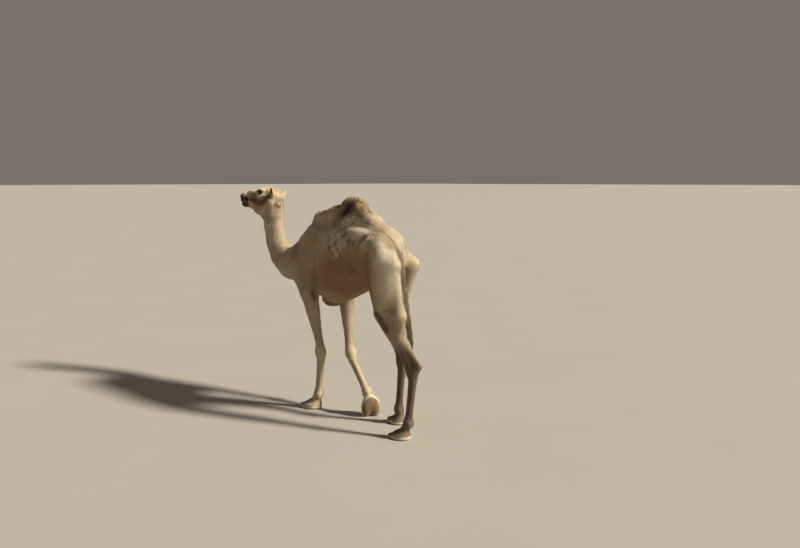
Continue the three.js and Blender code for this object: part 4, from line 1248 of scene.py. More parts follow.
# ---- Meshes and materials ----
def mesh_object(name, vertices, polygons, material, colours=None, bare=None):
    """An object from vertices in the plan and arrays of polygons, with values on its vertices."""
    loops = np.concatenate([polygon.ravel() for polygon in polygons]).astype(np.int32)
    sizes = np.concatenate([np.full(len(polygon), polygon.shape[1]) for polygon in polygons])
    starts = np.concatenate([[0], np.cumsum(sizes)[:-1]]).astype(np.int32)
    mesh = bpy.data.meshes.new(name)
    mesh.vertices.add(len(vertices))
    mesh.vertices.foreach_set("co", (vertices + SHIFT).astype(np.float32).ravel())
    mesh.loops.add(len(loops))
    mesh.loops.foreach_set("vertex_index", loops)
    mesh.polygons.add(len(sizes))
    mesh.polygons.foreach_set("loop_start", starts)
    mesh.polygons.foreach_set("use_smooth", np.ones(len(sizes), dtype=bool))
    mesh.update(calc_edges=True)
    if colours is not None:
        layer = mesh.color_attributes.new("coat_colour", "FLOAT_COLOR", "POINT")
        rgba = np.concatenate([colours, np.ones((len(colours), 1))], axis=1)
        layer.data.foreach_set("color", rgba.astype(np.float32).ravel())
    if bare is not None:
        layer = mesh.attributes.new("bare", "FLOAT", "POINT")
        layer.data.foreach_set("value", bare.astype(np.float32))
    mesh.materials.append(material)
    piece = bpy.data.objects.new(name, mesh)
    bpy.context.scene.collection.objects.link(piece)
    return piece


class Nodes:
    """A material's node tree, with the few steps that the materials here share."""

    def __init__(self, name):
        self.material = bpy.data.materials.new(name)
        self.material.use_nodes = True
        self.tree = self.material.node_tree
        self.shader = self.tree.nodes["Principled BSDF"]

    def new(self, kind, inputs=(), **settings):
        node = self.tree.nodes.new(kind)
        for key, value in settings.items():
            setattr(node, key, value)
        for key, value in dict(inputs).items():
            self.feed(value, node.inputs[key])
        return node

    def feed(self, value, socket):
        """Sets a socket to a number or a colour, or links another socket to it."""
        if isinstance(value, bpy.types.NodeSocket):
            self.tree.links.new(value, socket)
        elif np.ndim(value) and len(socket.default_value) > len(value):
            socket.default_value = (*value, 1)
        else:
            socket.default_value = value

    def attribute(self, name, output="Color"):
        return self.new("ShaderNodeAttribute", attribute_name=name).outputs[output]

    def place(self):
        return self.new("ShaderNodeTexCoord").outputs["Object"]

    def noise(self, scale, detail=3.0, roughness=0.55, stretch=None):
        """Noise over the object's own coordinates, that may be stretched along an axis."""
        place = self.place()
        if stretch:
            mapping = self.new("ShaderNodeMapping", {"Scale": stretch, "Vector": place})
            place = mapping.outputs["Vector"]
        inputs = {"Scale": scale, "Detail": detail, "Roughness": roughness, "Vector": place}
        return self.new("ShaderNodeTexNoise", inputs).outputs["Fac"]

    def cracks(self, scale):
        """Distance to the edges between cells, as in wrinkled leather."""
        inputs = {"Scale": scale, "Vector": self.place()}
        cells = self.new("ShaderNodeTexVoronoi", inputs, feature="DISTANCE_TO_EDGE")
        return cells.outputs["Distance"]

    def spread(self, value, low, high, to_low=0.0, to_high=1.0):
        inputs = {
            "Value": value,
            "From Min": low,
            "From Max": high,
            "To Min": to_low,
            "To Max": to_high,
        }
        return self.new("ShaderNodeMapRange", inputs).outputs["Result"]

    def mixed(self, share, a, b, blend="MIX"):
        """A colour mixed from two, each a socket or a colour; share is a socket or a number."""
        inputs = {0: share, 6: a, 7: b}
        return self.new("ShaderNodeMix", inputs, data_type="RGBA", blend_type=blend).outputs[2]

    def bump(self, height, strength, distance, **under):
        inputs = {"Strength": strength, "Distance": distance, "Height": height, **under}
        return self.new("ShaderNodeBump", inputs).outputs["Normal"]

    def finish(self, **values):
        """Feeds the shader's sockets and returns the material."""
        for key, value in values.items():
            self.feed(value, self.shader.inputs[key.replace("_", " ")])
        return self.material


def skin_material():
    """Short flat fur, and leather where the skin is bare."""
    nodes = Nodes("camel_skin")
    bare = nodes.attribute("bare", "Fac")
    coat = nodes.attribute("coat_colour")
    fibre = nodes.noise(420, 2.0, 0.6, stretch=(1.0, 1.0, 0.35))
    mottle = nodes.noise(60, 4.0)
    fur = nodes.mixed(nodes.spread(fibre, 0.35, 0.65), coat, UMBER, "MULTIPLY")
    hide = nodes.mixed(nodes.spread(mottle, 0.4, 0.62, 0.0, 0.45), coat, DARK)
    return nodes.finish(
        Base_Color=nodes.mixed(bare, nodes.mixed(0.55, coat, fur), hide),
        Roughness=nodes.spread(bare, 0, 1, 0.92, 0.72),
        Normal=nodes.bump(nodes.cracks(230), 0.3, 0.0012, Normal=nodes.bump(fibre, 0.55, 0.002)),
        Sheen_Weight=0.05,
        Sheen_Roughness=0.5,
        Specular_IOR_Level=0.25,
    )


def hair_material():
    """Tufts: the coat's colour with a fine grain."""
    nodes = Nodes("camel_hair")
    grain = nodes.noise(520, 2.0, 0.6)
    share = nodes.spread(grain, 0.38, 0.7, 0.0, 0.3)
    return nodes.finish(
        Base_Color=nodes.mixed(share, nodes.attribute("coat_colour"), UMBER),
        Normal=nodes.bump(grain, 0.35, 0.0008),
        Roughness=0.8,
        Sheen_Weight=0.1,
        Sheen_Roughness=0.4,
        Specular_IOR_Level=0.3,
    )


def eye_material():
    nodes = Nodes("camel_eye")
    share = nodes.spread(nodes.noise(900, 3.0), 0.35, 0.75, 0.0, 0.35)
    return nodes.finish(
        Base_Color=nodes.mixed(share, nodes.attribute("coat_colour"), DARK),
        Roughness=0.12,
        Coat_Weight=0.4,
        Coat_Roughness=0.03,
        IOR=1.376,
    )


def horn_material():
    nodes = Nodes("camel_horn")
    bands = nodes.noise(160, 3.0, stretch=(1.0, 0.3, 0.3))
    return nodes.finish(
        Base_Color=nodes.mixed(nodes.spread(bands, 0.3, 0.7), rgb("#3a3029"), rgb("#7c6a55")),
        Normal=nodes.bump(bands, 0.5, 0.001),
        Roughness=0.62,
    )


def callus_material():
    nodes = Nodes("camel_callus")
    mottle = nodes.noise(70, 4.0)
    rough = nodes.bump(mottle, 0.5, 0.003)
    return nodes.finish(
        Base_Color=nodes.mixed(nodes.spread(mottle, 0.3, 0.7), rgb("#4d3f33"), rgb("#857461")),
        Normal=nodes.bump(nodes.cracks(140), 0.6, 0.002, Normal=rough),
        Roughness=0.72,
    )


def lash_material():
    nodes = Nodes("camel_lash")
    share = nodes.spread(nodes.noise(300), 0.3, 0.7)
    colour = nodes.mixed(share, rgb("#1d1612"), rgb("#3a2c22"))
    return nodes.finish(Base_Color=colour, Roughness=0.55)


HAIR = hair_material()


# ---- Skin ----
SKIN = Volume(outer_forms(), skin_depth, inner_forms())
TAIL_DEPTH = 0.006
TAIL_SKIN = Volume(chain(TAIL, 0.02), lambda points: np.full(len(points), TAIL_DEPTH), [])


def near_any(places, balls):
    """Which places are within a radius of a centre, from balls of (centres, radius)."""
    found = np.zeros(len(places), dtype=bool)
    for centres, radius in balls:
        for centre in centres:
            found |= np.linalg.norm(places - centre, axis=1) < radius
    return found


def body_net():
    """The body's surface, drawn finer round eyes, ears, muzzle and feet, finest round the lids."""
    grid = Grid(
        x=grid_lines((-0.94, 0.98, 0.01), (0.98, 1.5, 0.0042)),
        y=grid_lines((-0.36, 0.36, 0.0092)),
        z=grid_lines((-0.02, 0.1, 0.006), (0.1, 1.76, 0.01), (1.76, 2.1, 0.0042)),
        crowd=round_head,
    )
    eyes = [eye.centre for eye in EYES.values()]
    ears = [ear.face(0.6, 0) for ear in EARS.values()]
    feet = [leg.foot_point(0.02, 0, 0.02) for leg in LEGS.values()]
    muzzle = in_head(LEFT, (0.405, 0, -0.02))
    nostrils = in_head(LEFT, (0.414, 0.036, 0.008)) + in_head(RIGHT, (0.414, 0.036, 0.008))
    fine = [(eyes, 0.052), (ears, 0.06), (muzzle, 0.085), (feet, 0.13)]
    finest = [(eyes, 0.036), (nostrils, 0.03)]
    vertices, quads = surface_net(SKIN, grid)
    vertices = relaxed(SKIN, SKIN.onto(vertices), [quads], rounds=2)
    borders = []
    for balls, rounds in ((fine, 2), (finest, 3)):
        chosen = near_any(vertices[quads].mean(axis=1), balls)
        vertices, quads, cut = refined(vertices, quads, chosen)
        borders += cut
        vertices = relaxed(SKIN, SKIN.onto(vertices), [quads, *borders], rounds)
    return SKIN.onto(vertices, steps=2), [quads, *borders]


def tail_net():
    grid = Grid(
        x=grid_lines((-0.8, -0.44, 0.0065)),
        y=grid_lines((-0.06, 0.12, 0.0055)),
        z=grid_lines((0.77, 1.66, 0.009)),
    )
    vertices, quads = surface_net(TAIL_SKIN, grid)
    return relaxed(TAIL_SKIN, TAIL_SKIN.onto(vertices), [quads], rounds=2), [quads]


def is_flesh(node):
    return "eye" not in node and "nail" not in node and node != "chest_pad"


def make_skin():
    """One skin for the whole body. Returns the nets that the coat grows on."""
    body, tail = body_net(), tail_net()
    vertices = np.concatenate([body[0], tail[0]])
    polygons = [*body[1], *[polygon + len(body[0]) for polygon in tail[1]]]
    colours = coat_colour(vertices)
    skin = mesh_object("skin", vertices, polygons, skin_material(), colours, bareness(vertices))
    flesh = [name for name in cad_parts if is_flesh(name)]
    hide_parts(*flesh)
    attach(skin, "root")
    return (body[0], body[1][0]), (tail[0], tail[1][0])


# ---- Coat ----
COAT_SEED, FRINGE_SEED, TAIL_SEED, LASH_SEED = 5, 6, 7, 8


def neck_line(out):
    """Down the neck from the poll, at a share of its depth in front of the centre line."""
    return [place + point(girth[1] * out, 0, 0) for place, girth in reversed(NECK)]


HEAD_FLOW = [  # lines that the coat lies along, each from root to tip, in the head's frame
    [(0.43, 0, 0), (0.2, 0, 0.06), (-0.03, 0, 0.08)],
    [(0.42, 0, -0.08), (0.24, 0, -0.12), (0.12, 0, -0.18)],
]
BACK_FLOW = [
    [(0.62, 0, 1.66), (0.4, 0, 1.84), (0.15, 0, 1.9), (-0.02, 0, 2)],
    [(-0.02, 0, 2), (-0.2, 0, 1.86), (-0.56, 0, 1.62)],
    [(0.55, 0, 1.1), (-0.1, 0, 1.1), (-0.4, 0, 1.24)],
]
SIDE_FLOW = [
    [(0.8, 0.12, 1.44), (0.55, 0.18, 1.34), (0.46, 0.2, 1.16)],
    [(0.5, 0.12, 1.72), (0.4, 0.22, 1.46), (0.36, 0.24, 1.2)],
    [(0.2, 0.12, 1.8), (0.06, 0.25, 1.5), (-0.06, 0.2, 1.2)],
    [(-0.1, 0.12, 1.78), (-0.24, 0.22, 1.5), (-0.3, 0.16, 1.22)],
    [(-0.3, 0.15, 1.7), (-0.48, 0.22, 1.42), (-0.5, 0.2, 1.1)],
    [(-0.52, 0.08, 1.6), (-0.66, 0.12, 1.4), (-0.66, 0.14, 1.14)],
]


def lines_of_flow():
    """Lines that the coat lies along, each from root to tip."""
    lines = [in_head(LEFT, *line) for line in HEAD_FLOW] + [neck_line(-1), neck_line(1)]
    lines += [*[sided(LEFT, *line) for line in BACK_FLOW], TAIL_LINE]
    for side in BOTH:
        lines.append(in_head(side, (0.4, 0.04, -0.02), (0.2, 0.07, -0.03), (0.02, 0.08, -0.1)))
        lines += [sided(side, *line) for line in SIDE_FLOW]
    lines += [[ear.face(0, 0), ear.face(1.05, 0)] for ear in EARS.values()]
    for leg in LEGS.values():
        foot = leg.foot_point(0, 0, 0.03), leg.foot_point(0.11, 0, 0.01)
        lines.append([leg.upper, leg.middle, leg.fetlock, *foot])
    return lines


FLOW = [(a, b) for line in lines_of_flow() for a, b in zip(line, line[1:])]
FLOW_CORE = 0.03  # within this of a line the coat follows it alone


def lie_of_coat(points):
    """The direction the coat lies in, before it is laid along the skin."""
    total = np.zeros_like(points)
    for a, b in FLOW:
        run = b - a
        share = np.clip((points - a) @ run / (run @ run), 0, 1)
        away = ((points - a - share[:, None] * run) ** 2).sum(axis=1) + FLOW_CORE**2
        total += unit(run) / (away**2)[:, None]
    return unit(total)


def turned(direction, normal, angle):
    """Turns directions about normals by angles."""
    across = np.cross(normal, direction)
    return direction * np.cos(angle)[:, None] + across * np.sin(angle)[:, None]


def along_skin(direction, normal):
    return unit(direction - normal * (direction * normal).sum(axis=1, keepdims=True))


def scattered(corners, spacing, weight, draw):
    """Places strewn over quads, so far apart where the weight is 1 and none where it is 0."""
    diagonals = np.cross(corners[:, 2] - corners[:, 0], corners[:, 3] - corners[:, 1])
    area = np.linalg.norm(diagonals, axis=1) / 2
    wanted = area / spacing**2 * weight
    count = np.floor(wanted + draw.uniform(size=len(wanted))).astype(int)
    owner = np.repeat(np.arange(len(corners)), count)
    u, v = draw.uniform(size=(2, len(owner), 1))
    a, b, c, d = (corners[owner, i] for i in range(4))
    return (a * (1 - u) + b * u) * (1 - v) + (d * (1 - u) + c * u) * v


def roots_on(net, draw):
    """Places for tufts, spaced as the coat's regions say."""
    vertices, quads = net
    corners = vertices[quads]
    middles = corners.mean(axis=1)
    return scattered(corners, coat_value(middles, "spacing"), bareness(middles) < 0.5, draw)


LENGTH_SPREAD = (0.7, 1.3)  # least and most of a tuft's length, and so on
WIDTH_SPREAD = (0.75, 1.25)
DEPTH_SPREAD = (0.65, 1.05)
TONE_SPREAD = 0.05
SWIRL = 0.22  # how far the whole coat's lie turns to and fro


class Tufts:
    """Roots of tufts, each with a size, a direction and a tone, that grow over a volume of skin."""

    def __init__(self, volume, roots, draw, **sizes):
        self.volume = volume
        self.roots = roots
        count = len(roots)

        def size(name):
            return np.full(count, sizes[name]) if name in sizes else coat_value(roots, name)

        self.length = size("length") * draw.uniform(*LENGTH_SPREAD, count)
        self.width = size("width") * draw.uniform(*WIDTH_SPREAD, count)
        self.depth = size("depth") * draw.uniform(*DEPTH_SPREAD, count)
        swirl = SWIRL * ripple(roots, size=0.09, seed=41)
        self.turn = draw.normal(size=count) * size("tangle") + swirl
        self.tone = draw.normal(1.0, TONE_SPREAD, count)

    def grow(self, rings, cling=1.0, sink=0.0012, flow=None):
        """Centres of the tufts' rings from root to tip, with the skin's normal at each."""
        place = self.roots
        normal = unit(self.volume.slope(place)[1])
        direction = lie_of_coat(place) if flow is None else flow
        direction = turned(along_skin(direction, normal), normal, self.turn)
        centres = [place - normal * sink]
        normals = [normal]
        step = (self.length / rings)[:, None]
        for ring in range(1, rings + 1):
            drop = (1 - cling) * ring / rings
            direction = unit(direction + DOWN * drop)
            ahead = centres[-1] + direction * step
            d, slope = self.volume.slope(ahead)
            normal = unit(slope)
            height = self.depth * (ring / rings) ** 0.8
            lift = height - d
            lift = np.where(lift > 0, lift, lift * cling)
            centres.append(ahead + normal * lift[:, None])
            normals.append(normal)
            direction = unit(centres[-1] - centres[-2])
        return centres, normals


RING_SHAPES = {  # share of the full width at each ring before the tip
    1: (1.0,),
    2: (0.6, 1.0),
    4: (0.5, 0.95, 1.0, 0.66),
}
FLOOR_GAP = 0.0003  # least height of hair over the floor
UNDERSIDE, RIDGE = 0.35, 0.75  # from a lock's middle to its edges and ridge, in half widths


def lock_faces(rings, count):
    """Triangles of locks with three sides that taper to a point, whose points follow in a row."""
    sides = ((0, 1), (1, 2), (2, 0))
    faces = [(0, 2, 1)]
    for low in range(0, 3 * rings - 3, 3):
        high = low + 3
        for i, j in sides:
            faces += [(low + i, low + j, high + j), (low + i, high + j, high + i)]
    last, tip = 3 * rings - 3, 3 * rings
    faces += [(last + i, last + j, tip) for i, j in sides]
    firsts = np.arange(count)[:, None, None] * (tip + 1)
    return np.array(faces)[None] + firsts


def tuft_mesh(tufts, centres, normals):
    """Vertices of locks, their triangles, and each vertex's share of the length and side."""
    rings = len(centres) - 1
    count = len(tufts.roots)
    vertices = np.empty((count, 3 * rings + 1, 3))
    for ring, shape in enumerate(RING_SHAPES[rings]):
        direction = unit(centres[ring + 1] - centres[ring])
        side = unit(np.cross(normals[ring], direction))
        over = np.cross(direction, side)
        half = (tufts.width * shape / 2)[:, None]
        vertices[:, 3 * ring] = centres[ring] - side * half - over * half * UNDERSIDE
        vertices[:, 3 * ring + 1] = centres[ring] + side * half - over * half * UNDERSIDE
        vertices[:, 3 * ring + 2] = centres[ring] + over * half * RIDGE
    vertices[:, -1] = centres[-1]
    vertices[..., 2] = np.maximum(vertices[..., 2], FLOOR_GAP)
    share = np.append(np.repeat(np.arange(rings) / rings, 3), 1)
    across = np.append(np.tile((-1, 1, 0), rings), 0)
    return vertices, lock_faces(rings, count), share, across


ROOT_TONE = 0.9
TIP_TONE = 1.06
PATCH = 0.003  # side of each tuft's patch on the unwrap
MARGIN = 0.01  # left free at the unwrap's edges


def unwrap(points, line):
    """Places on the skin laid flat round a line of the body, and their distance from the line.

    The first coordinate is the turn about the line, the second the run along it.
    """
    best = np.full(len(points), np.inf)
    result = np.zeros((len(points), 2))
    before = 0.0
    total = sum(np.linalg.norm(b - a) for a, b in zip(line, line[1:]))
    for a, b in zip(line, line[1:]):
        run = b - a
        length = np.linalg.norm(run)
        along = run / length
        side = unit(LEFTWARD - along * (LEFTWARD @ along))
        front = np.cross(along, side)
        share = (points - a) @ run / length**2
        offset = points - a - np.clip(share, 0, 1)[:, None] * run
        away = (offset**2).sum(axis=1)
        closer = away < best
        turn = np.arctan2(offset @ side, offset @ front) / TAU + 0.5
        result[closer] = np.stack([turn, (before + share * length) / total], axis=1)[closer]
        best = np.minimum(best, away)
        before += length
    return result, np.sqrt(best)


BODY_LINES = {  # lines that pieces of coat are unwrapped round, with the body's usual radius there
    "head": (in_head(LEFT, (-0.08, 0, 0), (0.44, 0, -0.03)), 0.075),
    "neck": (neck_line(0), 0.105),
    "trunk": ([point(0.62, 0, 1.42), point(-0.6, 0, 1.46)], 0.25),
    **{
        name: ([leg.upper, leg.middle, leg.fetlock, leg.foot_point(0.06, 0, 0.01)], 0.09)
        for name, leg in LEGS.items()
    },
}
TRUNK_SLICES = (-0.36, -0.1, 0.16)  # where the trunk's coat is divided along the body


def piece_names(roots):
    """Which piece of coat each root belongs to."""
    away = np.stack([unwrap(roots, line)[1] / radius for line, radius in BODY_LINES.values()])
    names = np.array(list(BODY_LINES), dtype=object)[away.argmin(axis=0)]
    trunk = names == "trunk"
    side = np.where(roots[:, 1] > 0, "left", "right")
    part = np.searchsorted(TRUNK_SLICES, roots[:, 0])
    names[trunk] = [f"trunk_{side[i]}_{part[i] + 1}" for i in np.flatnonzero(trunk)]
    return names


def coat_piece(name, tufts, grown, line, chosen=None):
    """One piece of coat from the chosen tufts, or from all, with its map for baking."""
    vertices, triangles, share, across = grown
    if chosen is None:
        chosen = np.ones(len(vertices), dtype=bool)
    roots = tufts.roots[chosen]
    moved = np.flatnonzero(chosen) - np.arange(len(roots))
    picked = (triangles[chosen] - (moved * len(share))[:, None, None]).reshape(-1, 3)
    tone = tufts.tone[chosen][:, None] * (ROOT_TONE + (TIP_TONE - ROOT_TONE) * share)[None]
    colours = np.clip(coat_colour(roots)[:, None] * tone[..., None], 0, 1).reshape(-1, 3)
    piece = mesh_object(name, vertices[chosen].reshape(-1, 3), [picked], HAIR, colours)
    flat, _ = unwrap(roots, line)
    low, high = flat.min(axis=0), flat.max(axis=0)
    flat = MARGIN + (1 - 2 * MARGIN) * (flat - low) / (high - low)
    run = (share - 0.5) * PATCH + (across == 0) * PATCH * 0.1
    uv = (flat[:, None] + np.stack([across * PATCH / 2, run], axis=1)[None]).reshape(-1, 2)
    layer = piece.data.uv_layers.new(name="OFBake")
    layer.data.foreach_set("uv", uv[picked.ravel()].astype(np.float32).ravel())
    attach(piece, "root")


def make_coat(body, tail):
    draw = np.random.default_rng(COAT_SEED)
    tufts = Tufts(SKIN, roots_on(body, draw), draw)
    grown = tuft_mesh(tufts, *tufts.grow(rings=1))
    names = piece_names(tufts.roots)
    for name in sorted(set(names)):
        line, _ = BODY_LINES["trunk" if name.startswith("trunk") else name]
        coat_piece(f"coat_{name}", tufts, grown, line, names == name)
    sizes = {"depth": TAIL_DEPTH, "length": 0.03, "width": 0.0022}
    tufts = Tufts(TAIL_SKIN, roots_on(tail, draw), draw, **sizes)
    coat_piece("coat_tail", tufts, tuft_mesh(tufts, *tufts.grow(rings=2)), TAIL_LINE)


# ---- Long hair: fringes of free locks ----
FRINGES = {  # forms, softness, line to unwrap round, spacing, size of locks, tangle, cling, swirl
    "throat": (THROAT, 0.012, "neck", 0.0066, 0.034, 0.0017, 0.009, 0.14, 0.85, 0),
    "hump_wool": (HUMP_WOOL, 0.03, "trunk", 0.0066, 0.015, 0.0018, 0.0095, 0.4, 0.95, 1.2),
    "withers_wool": (WITHERS_WOOL, 0.016, "trunk", 0.007, 0.017, 0.0018, 0.009, 0.32, 0.95, 1),
    "flank_wool": (FLANK_WOOL, 0.03, "trunk", 0.0064, 0.015, 0.0019, 0.011, 0.42, 0.95, 1.3),
    "hip_wool": (HIP_WOOL, 0.04, "trunk", 0.0094, 0.013, 0.0017, 0.0058, 0.26, 0.95, 0.9),
}
TAIL_LOCKS = 2200
TAIL_FRINGE_TOP = 1.4  # in stations of the tail
TAIL_FRINGE_RUN = len(TAIL) - 2.45


def make_fringes(body):
    draw = np.random.default_rng(FRINGE_SEED)
    vertices, quads = body
    corners = vertices[quads]
    middles = corners.mean(axis=1)
    for name, (forms, soft, line, spacing, *sizes, cling, swirl) in FRINGES.items():
        weight = Region(forms, soft).weight(middles)
        roots = scattered(corners, spacing, weight, draw)
        locks = Tufts(SKIN, roots, draw, **dict(zip(("length", "width", "depth", "tangle"), sizes)))
        locks.turn += swirl * ripple(roots, size=0.03, seed=44)
        grown = tuft_mesh(locks, *locks.grow(rings=4, cling=cling))
        coat_piece(f"locks_{name}", locks, grown, BODY_LINES[line][0])


def make_tail_fringe():
    """Hair on both edges of the tail's lower half, hanging past its tip."""
    draw = np.random.default_rng(TAIL_SEED)
    at = TAIL_FRINGE_TOP + TAIL_FRINGE_RUN * draw.uniform(size=TAIL_LOCKS) ** 0.8
    stations = np.arange(len(TAIL))
    centre = np.stack([np.interp(at, stations, axis) for axis in np.transpose(TAIL_LINE)], axis=1)
    wide = np.interp(at, stations, [girth[0] for _, girth in TAIL]) - TAIL_DEPTH
    side = np.where(draw.uniform(size=TAIL_LOCKS) > 0.5, 1.0, -1.0)
    out = side * wide * draw.uniform(0.7, 1.5, TAIL_LOCKS)
    roots = centre + LEFTWARD * out[:, None]
    locks = Tufts(TAIL_SKIN, roots, draw, length=0.085, width=0.0024, depth=0.006, tangle=0.1)
    locks.length *= np.interp(at, [TAIL_FRINGE_TOP, 4, 6.6], [0.35, 0.9, 0.8])
    outward = LEFTWARD * side[:, None] * 0.3 + DOWN + point(-0.18, 0, 0)
    grown = tuft_mesh(locks, *locks.grow(rings=4, cling=0.2, flow=outward))
    coat_piece("locks_tail", locks, grown, TAIL_LINE)


# ---- Eyes, lashes, nails and chest pad ----
def round_mesh(rows, columns, place):
    """A closed round mesh: place(row share, turn) gives each vertex between two poles."""
    turns = [TAU * column / columns for column in range(columns)]
    rings = [place(row / rows, turn) for row in range(1, rows) for turn in turns]
    vertices = np.array([place(0, 0), *rings, place(1, 0)])
    first, last, quads = [], [], []
    end = len(vertices) - 1
    for column in range(columns):
        after = (column + 1) % columns
        first.append((0, 1 + column, 1 + after))
        last.append((end, end - columns + after, end - columns + column))
        for a in range(1, end - columns, columns):
            b = a + columns
            quads.append((a + column, b + column, b + after, a + after))
    return vertices, [np.array(first), np.array(last), np.array(quads)]


DOME = 0.0009  # how far the cornea stands out of the ball
EYE_SLACK = 0.0002  # between the ball and its place in the lids
PUPIL_RADII = (0.0104, 0.0054)


def make_eye(name, eye, material):
    """Eyeball with a domed cornea, dark iris and a wide low pupil."""

    def place(share, turn):
        angle = np.pi * share**1.25
        radius = EYE_RADIUS - EYE_SLACK + DOME * smooth_step(0.62, 0.1, angle)
        flat = eye.along * np.cos(turn) + eye.over * np.sin(turn)
        return eye.centre + (eye.out * np.cos(angle) + flat * np.sin(angle)) * radius

    vertices, polygons = round_mesh(44, 56, place)
    offset = vertices - eye.centre
    along, over, out = offset @ eye.along, offset @ eye.over, offset @ eye.out
    from_axis = np.arctan2(np.hypot(along, over), out)
    iris = 1 - smooth_step(0.74, 0.84, from_axis)
    ring = smooth_step(0.6, 0.72, from_axis) * (1 - smooth_step(0.8, 0.9, from_axis)) * 0.8
    pupil = 1 - smooth_step(0.85, 1.1, np.hypot(along / PUPIL_RADII[0], over / PUPIL_RADII[1]))
    colours = np.tile(rgb("#6b5644"), (len(vertices), 1))
    layers = (("#3a1f10", iris), ("#120b08", ring), ("#050404", np.where(out > 0, pupil, 0)))
    for code, weight in layers:
        colours += (rgb(code) - colours) * weight[:, None]
    ball = mesh_object(f"eyeball_{name}", vertices, polygons, material, colours)
    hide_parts(f"eye_{name}")
    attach(ball, "root")


LASH_ROWS = [  # turns from start to end, count, length, rise and curl of upper and lower lashes
    (0.03, 0.47, 90, 0.032, 0.16, 0.75),
    (0.57, 0.93, 34, 0.0075, -0.35, -0.6),
]
LASH_RINGS = 4
LASH_RADIUS = 0.00042


def make_lashes(name, eye, material):
    """Long upper lashes and short lower ones."""
    draw = np.random.default_rng(LASH_SEED)
    vertices = []
    for start, end, count, length, rise, curl in LASH_ROWS:
        bend = (eye.over * curl - eye.out * 0.1) * 0.45
        for turn in np.linspace(start, end, count) * TAU + draw.normal(0, 0.02, count):
            root = eye.rim(turn, LID_RADIUS + 0.0012, 1.02)
            fan = eye.along * np.cos(turn) * 0.55
            ahead = unit(eye.out + fan + eye.over * rise * 0.6)
            across = unit(np.cross(ahead, eye.over))
            size = length * draw.uniform(0.75, 1.15)
            for share in np.arange(LASH_RINGS) / LASH_RINGS:
                centre = root + (ahead * share + bend * share**2) * size
                radius = LASH_RADIUS * (1 - 0.7 * share)
                for angle in (0, TAU / 3, 2 * TAU / 3):
                    out = across * np.cos(angle) + eye.over * np.sin(angle)
                    vertices.append(centre + out * radius)
            vertices.append(root + (ahead + bend) * size)
    total = sum(row[2] for row in LASH_ROWS)
    triangles = lock_faces(LASH_RINGS, total).reshape(-1, 3)
    lashes = mesh_object(f"lashes_{name}", np.array(vertices), [triangles], material)
    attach(lashes, "root")


NAIL_AHEAD, NAIL_ASIDE, NAIL_UP = 0.09, 0.045, 0.033  # of the foot's frame
NAIL_RADII = point(0.025, 0.018, 0.014)


def make_nail(name, leg, aside, node, material):
    """A small broad hoof-like nail, ridged across, low at its tip."""
    centre = leg.foot_point(NAIL_AHEAD, aside, NAIL_UP)

    def place(share, turn):
        angle = np.pi * share
        across = np.sin(angle) * np.cos(turn)
        up = np.sin(angle) * np.sin(turn)
        ridges = 1 + 0.018 * np.cos(angle * 22)
        bend = -0.3 * smooth_step(0, 1, (1 + np.cos(angle)) / 2)
        local = point(np.cos(angle), across * ridges, max(up, -0.55) * ridges + bend)
        return centre + leg.foot.rotation @ (local * (NAIL_RADII * leg.size))

    vertices, polygons = round_mesh(30, 28, place)
    vertices[:, 2] = np.maximum(vertices[:, 2], 0)
    nail = mesh_object(name, vertices, polygons, material)
    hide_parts(node)
    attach(nail, "root")


def make_chest_pad(material):
    """The callus it rests on, worn flat below and cracked."""

    def place(share, turn):
        angle = np.pi * share
        local = point(np.sin(angle) * np.cos(turn), np.sin(angle) * np.sin(turn), np.cos(angle))
        local[2] = np.sign(local[2]) * abs(local[2]) ** 0.8
        return CHEST_PAD.at(*(local * CHEST_PAD_RADII * 0.985))

    vertices, polygons = round_mesh(56, 90, place)
    outward = unit(vertices - CHEST_PAD.origin)
    broad = ripple(vertices, size=0.03, seed=51)
    fine = np.abs(ripple(vertices, size=0.011, seed=52))
    rough = 0.0016 * broad + 0.0008 * fine
    pad = mesh_object("chest_callus", vertices + outward * rough[:, None], polygons, material)
    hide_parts("chest_pad")
    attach(pad, "root")


def make_small_parts():
    eye, lash, horn = eye_material(), lash_material(), horn_material()
    for name, made in EYES.items():
        make_eye(name, made, eye)
        make_lashes(name, made, lash)
    for name, leg in LEGS.items():
        for toe, side in (("outer", leg.side), ("inner", -leg.side)):
            make_nail(f"{name}_toenail_{toe}", leg, side * NAIL_ASIDE, f"{name}_nail_{toe}", horn)
    make_chest_pad(callus_material())


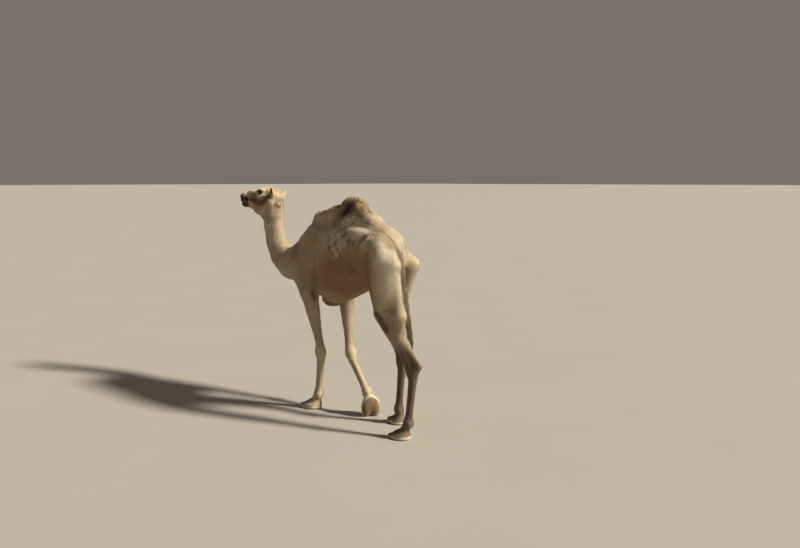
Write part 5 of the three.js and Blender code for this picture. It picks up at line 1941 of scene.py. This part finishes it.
# ---- Studio ----
CAMERA_AT = point(-4.525, 4.116, 2.13)
CAMERA_HEADING = unit(point(0.69354, -0.72042, 0))
CAMERA_DOWN = np.radians(7.68)
SENSOR = 36.0
LENS = 31.05
HALF_FLOOR = 400.0
KEY_TOWARD = (0.88, -0.3, 0.62)  # right of the camera's heading, along it and up
KEY_SPREAD = np.radians(6)
KEY_POWER = 6.8
KEY_COLOUR = (1.0, 0.945, 0.85)
AIR_COLOUR = (1.0, 0.9, 0.84, 1)
AIR_POWER = 0.18


def placed_aimed(name, data, place, heading):
    """Puts a camera or a light at a place, looking along a direction."""
    thing = bpy.data.objects.new(name, data)
    thing.location = place
    thing.rotation_euler = mathutils.Vector(heading).to_track_quat("-Z", "Y").to_euler()
    bpy.context.scene.collection.objects.link(thing)
    return thing


def make_camera():
    camera = bpy.data.cameras.new("camera")
    camera.sensor_width = SENSOR
    camera.lens = LENS
    camera.clip_end = 1000
    heading = CAMERA_HEADING * np.cos(CAMERA_DOWN) + DOWN * np.sin(CAMERA_DOWN)
    bpy.context.scene.camera = placed_aimed("camera", camera, CAMERA_AT + SHIFT, heading)


def make_studio():
    corners = np.array([(-1, -1, 0), (1, -1, 0), (1, 1, 0), (-1, 1, 0)]) * HALF_FLOOR
    nodes = Nodes("studio_floor")
    tint = nodes.mixed(nodes.spread(nodes.noise(0.8), 0.3, 0.7), rgb("#a59e94"), rgb("#a8a197"))
    nodes.finish(Base_Color=tint, Roughness=0.9)
    mesh_object("floor", corners, [np.array([[0, 1, 2, 3]])], nodes.material)
    right, ahead, up = KEY_TOWARD
    across = np.cross(CAMERA_HEADING, UP)
    toward = unit(across * right + CAMERA_HEADING * ahead + UP * up)
    sun = bpy.data.lights.new("key", "SUN")
    sun.angle = KEY_SPREAD
    sun.energy = KEY_POWER
    sun.color = KEY_COLOUR
    placed_aimed("key", sun, SHIFT + toward * 10, -toward)
    world = bpy.data.worlds.new("studio")
    world.use_nodes = True
    background = world.node_tree.nodes["Background"]
    background.inputs["Color"].default_value = AIR_COLOUR
    background.inputs["Strength"].default_value = AIR_POWER
    bpy.context.scene.world = world
    bpy.context.scene.view_settings.view_transform = "Standard"


# ---- Everything ----
make_camera()
make_studio()
body_surface, tail_surface = make_skin()
make_coat(body_surface, tail_surface)
make_fringes(body_surface)
make_tail_fringe()
make_small_parts()

bpy.context.view_layer.update()
